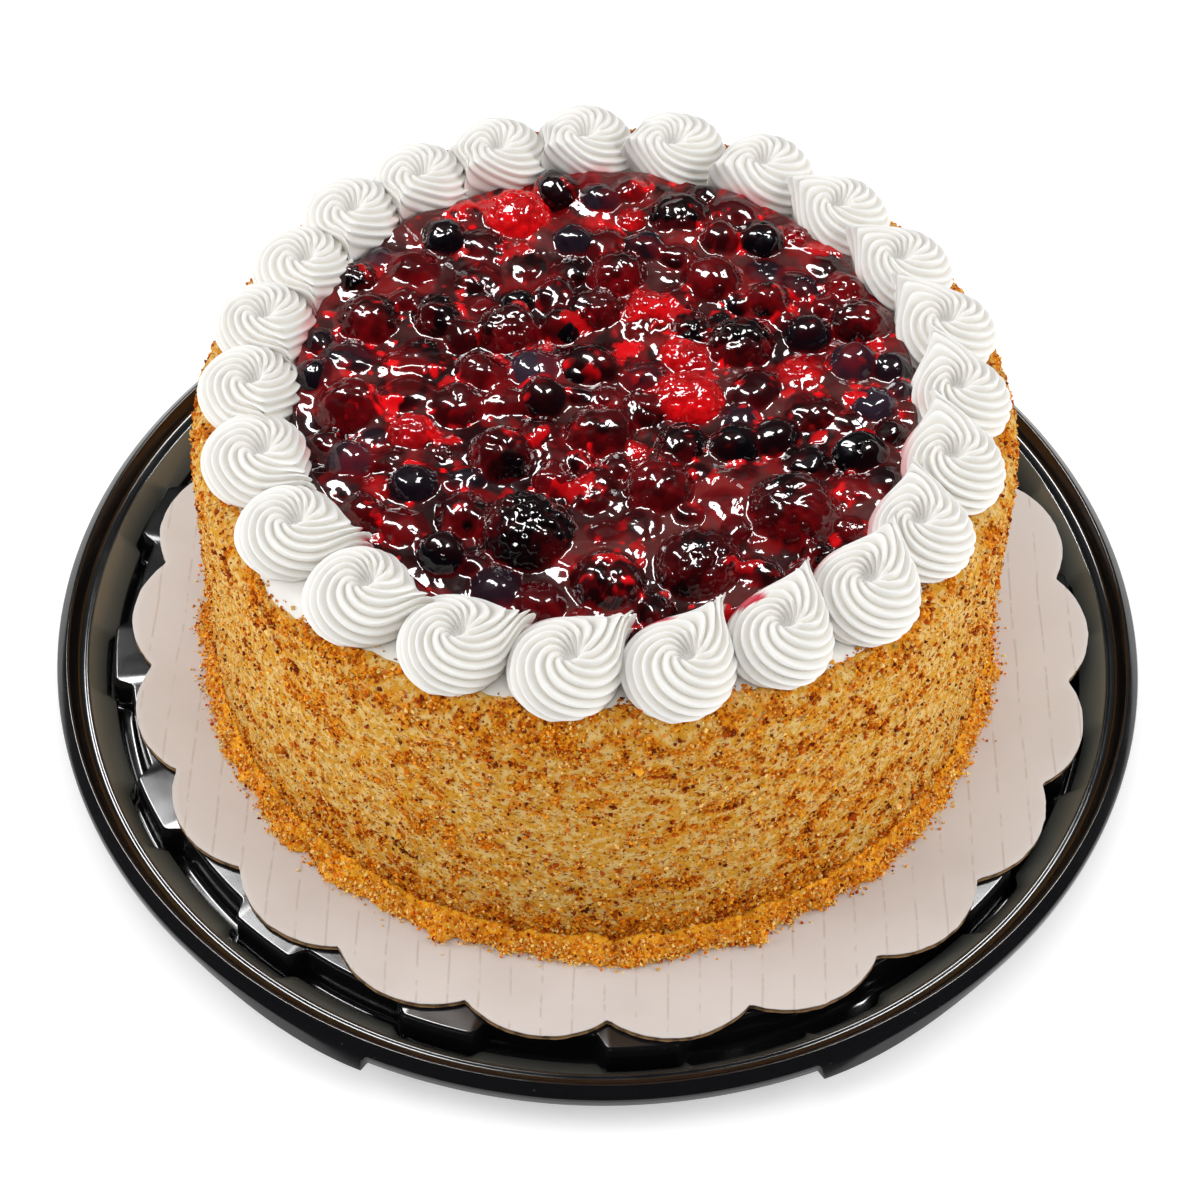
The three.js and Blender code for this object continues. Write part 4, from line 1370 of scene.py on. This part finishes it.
def wetFinish(name, roughness, ripple):
    # fruit and syrup: their own colours under a clear wet coat
    finish = Finish(name, fromScreen(60, 12, 18), roughness, Coat_Weight=1.0, Coat_Roughness=0.02,
                    Specular_IOR_Level=0.04)
    finish.feed("Base Color", finish.attribute("tint", "Color"))
    finish.feed("Coat Normal", finish.roughen(320.0, 2.0, ripple, 0.0007))
    return finish


# pieces that fruit is joined into: kinds, large or small, rows and columns of each shell, film
fruitPieces = {
    "brambles": (("bramble",), True, 48, 96, 0.22),
    "raspberries": (("raspberry",), True, 44, 88, 0.2),
    "blueberries": (("blueberry",), True, 30, 48, 0.2),
    "smallBrambles": (("bramble", "raspberry"), False, 28, 56, 0.2),
    "smallFruit": (("blueberry", "cherry"), False, 22, 40, 0.2),
}


def makeFruitPieces(allFruit):
    # large berries replace their own solids, small ones those fused to the glaze
    random = np.random.default_rng(33)
    for name, (kinds, isLarge, rows, columns, film) in fruitPieces.items():
        members = [fruit for fruit in allFruit if fruit["kind"] in kinds and fruit["isLarge"] == isLarge]
        made = [fruitShell(fruit, rows, columns, film, random) for fruit in members]
        points, triangles = joined([shell for shell, _ in made])
        tint = np.concatenate([colours for _, colours in made])
        slotName = fruitKinds[kinds[0]]["slot"] if isLarge else "glaze"
        nodes = fruitNodes(kinds[0]) if isLarge else ["berry_glaze"]
        makePiece(name, points, triangles, wetFinish(name + "Skin", 0.3, 0.4).material, slotName, nodes,
                  {"tint": tint})


def discGrid(count):
    # a square grid pressed into a disc of radius 1 so that its cells keep nearly equal areas
    side = np.linspace(-1, 1, count)
    a, b = np.meshgrid(side, side, indexing="ij")
    wide = np.abs(a) >= np.abs(b)
    radius = np.where(wide, a, b)
    safe = np.where(radius == 0, 1, radius)
    turn = np.where(wide, math.pi / 4 * b / safe, math.pi / 2 - math.pi / 4 * a / safe)
    return radius * np.cos(turn), radius * np.sin(turn)


def blurred(values, times):
    # each value with the mean of its four neighbours, a number of times
    for _ in range(times):
        padded = np.pad(values, 1, mode="edge")
        around = padded[2:, 1:-1] + padded[:-2, 1:-1] + padded[1:-1, 2:] + padded[1:-1, :-2]
        values = 0.5 * values + 0.125 * around
    return values


def fruitHeight(fruit, x, y):
    # height of the berry's upper face over each place, and the colour there
    flat = np.stack([x - fruit["middle"][0], y - fruit["middle"][1]], -1) @ fruit["spin"][:2, :2].T
    balls, sizes, core = fruit["balls"], fruit["sizes"], fruit["core"]
    inside = sizes ** 2 - np.sum((flat[..., None, :] - balls[:, :2]) ** 2, axis=-1)
    height = np.where(inside > 0, balls[:, 2] + np.sqrt(np.maximum(inside, 0)), -99)
    within = 1 - np.sum((flat / core[:2]) ** 2, axis=-1)
    coreHeight = np.where(within > 0, core[2] * np.sqrt(np.maximum(within, 0)), -99)
    height = np.concatenate([height, coreHeight[..., None]], -1)
    return fruit["middle"][2] + height.max(axis=-1), fruit["colours"][height.argmax(axis=-1)]


def makeGlaze(t, allFruit):
    # the syrup's face is the soft maximum, k log(sum exp(z / k)), of its own level and of a film
    # on each berry, thick in places and bare in others
    random = np.random.default_rng(44)
    x, y = (t["edgeRadius"] * flat for flat in discGrid(t["grid"]))
    spot = np.stack([x, y, np.zeros_like(x)], -1)
    swell = layeredNoise(spot, t["swellSize"], 3, 121)
    folds = (1 - np.abs(softNoise(spot * [0.7, 1.2, 1], t["foldSize"], 127))) ** 3
    level = (t["level"] + t["swells"] * swell + t["folds"] * folds
             + t["lumps"] * layeredNoise(spot, t["lumpSize"], 2, 137))
    under = np.full(x.shape, t["foot"])
    cap = level - t["capDepth"]
    tint = np.zeros((*x.shape, 3))
    filmNoise = t["filmWander"] * layeredNoise(spot, 7, 2, 181)
    for fruit in allFruit:
        near = np.hypot(x - fruit["middle"][0], y - fruit["middle"][1]) < fruit["radius"] * 1.2
        height, colours = fruitHeight(fruit, x[near], y[near])
        film = random.uniform(*fruitKinds[fruit["kind"]]["film"])
        cap[near] = np.maximum(cap[near], height + film + filmNoise[near])
        higher = height > under[near]
        under[near] = np.where(higher, height, under[near])
        tint[near] = np.where(higher[:, None], colours, tint[near])
    # it hangs over the berries as a blurred cover
    draped = 0.2 * cap + 0.8 * blurred(cap, t["drape"])
    height = level + t["film"] * np.logaddexp(0, (draped - level) / t["film"])
    depth = height - under
    colour = {name: fromScreen(*shade) for name, shade in syrupColours.items()}
    openness = smoothStep(blurred(depth, t["openBlur"]), *t["openDepths"])
    flesh = smoothStep(layeredNoise(spot, 8, 3, 161), 0.12, 0.6)
    edges = smoothStep(depth, 0.8, 2.0) * (1 - openness)
    # open, swelling syrup takes the pool colour, which holds a painted reflection
    syrup = blend(colour["deep"], colour["pool"], openness * smoothStep(swell, -0.5, 0.8))
    syrup = blend(syrup, colour["flesh"], 0.55 * flesh)
    syrup = blend(syrup, colour["edge"], 0.6 * edges)
    tint = blend(tint, syrup, 1 - np.exp(-np.clip(depth, 0, None) / t["clearDepth"]))
    tint, height = layRedPieces(t, spot, tint, height, depth, colour["red"], random)
    height = height + t["ripple"] * layeredNoise(np.stack([x, y, height], -1), 2.4, 2, 141)
    fall = smoothStep(np.hypot(x, y), t["edgeRadius"] - t["edgeFall"], t["edgeRadius"])
    height = np.minimum(height - (height - t["foot"]) * fall ** 2, t["tallest"])
    points, triangles, rimCount = heightSolid(np.stack([x, y, height], -1), t["bottom"])
    colours = np.concatenate([tint.reshape(-1, 3), np.tile(colour["deep"], (rimCount, 1))])
    makePiece("berryGlaze", points, triangles, wetFinish("syrup", 0.25, 0.16).material, "glaze",
              ["berry_glaze"], {"tint": colours})


def layRedPieces(t, spot, tint, height, depth, red, random):
    # flesh and skins near the surface: low mounds with ragged outlines, clear red, small ones only
    # where the syrup is deep
    bits = [(*place, 0.75) for place in redPlaces]
    for _ in range(t["redBits"]):
        reach = (t["reach"] - 1) * math.sqrt(random.uniform())
        turn = random.uniform(0, 2 * math.pi)
        length = 1.3 + 4.2 * random.uniform() ** 2.2
        width = length * random.uniform(0.5, 0.9)
        bits.append((reach * math.cos(turn), reach * math.sin(turn), length, width,
                     random.uniform(0, 180), random.uniform(0.7, 1)))
    ragged = 0.5 * layeredNoise(spot, 1.8, 2, 191)
    clumps = smoothStep(layeredNoise(spot, 14, 2, 201), -0.7, 0.3) * smoothStep(depth, 0.6, 1.5)
    for x, y, length, width, turn, strength in bits:
        aside = spot[..., :2] - [x, y]
        near = np.max(np.abs(aside), axis=-1) < length
        turn = math.radians(turn)
        along = (aside[near] @ [math.cos(turn), math.sin(turn)]) / (length / 2)
        across = (aside[near] @ [-math.sin(turn), math.cos(turn)]) / (width / 2)
        inside = 1 - np.hypot(along, across) + ragged[near]
        mask = smoothStep(inside, 0.0, 0.4) * strength * (clumps[near] if length < 6 else 1)
        tint[near] = blend(tint[near], red * random.uniform(0.55, 1.25), mask)
        height[near] = height[near] + 0.1 * min(length, 6) * np.sqrt(np.clip(inside, 0, 1)) * mask
    return tint, height


def heightSolid(grid, bottom):
    # a grid of heights closed by a wall round its rim and a fan underneath
    count = len(grid)
    index = np.arange(count * count).reshape(count, count)
    top = twoEach(index[:-1, :-1], index[1:, :-1], index[1:, 1:], index[:-1, 1:])
    rim = np.concatenate([index[:-1, 0], index[-1, :-1], index[:0:-1, -1], index[0, :0:-1]])
    points = grid.reshape(-1, 3)
    low = points[rim] * [1, 1, 0] + [0, 0, bottom]
    lowIndex = len(points) + np.arange(len(rim))
    after, lowAfter = np.roll(rim, -1), np.roll(lowIndex, -1)
    side = twoEach(rim, lowIndex, lowAfter, after)
    under = np.stack([lowAfter, lowIndex, np.full(len(rim), len(points) + len(rim))], -1)
    points = np.concatenate([points, low, [(0, 0, bottom)]])
    return points, facingOut(points, np.concatenate([top, side, under])), len(rim) + 1


allFruit = layFruit(topping)
makeFruitPieces(allFruit)
makeGlaze(topping, allFruit)
print("topping is laid")
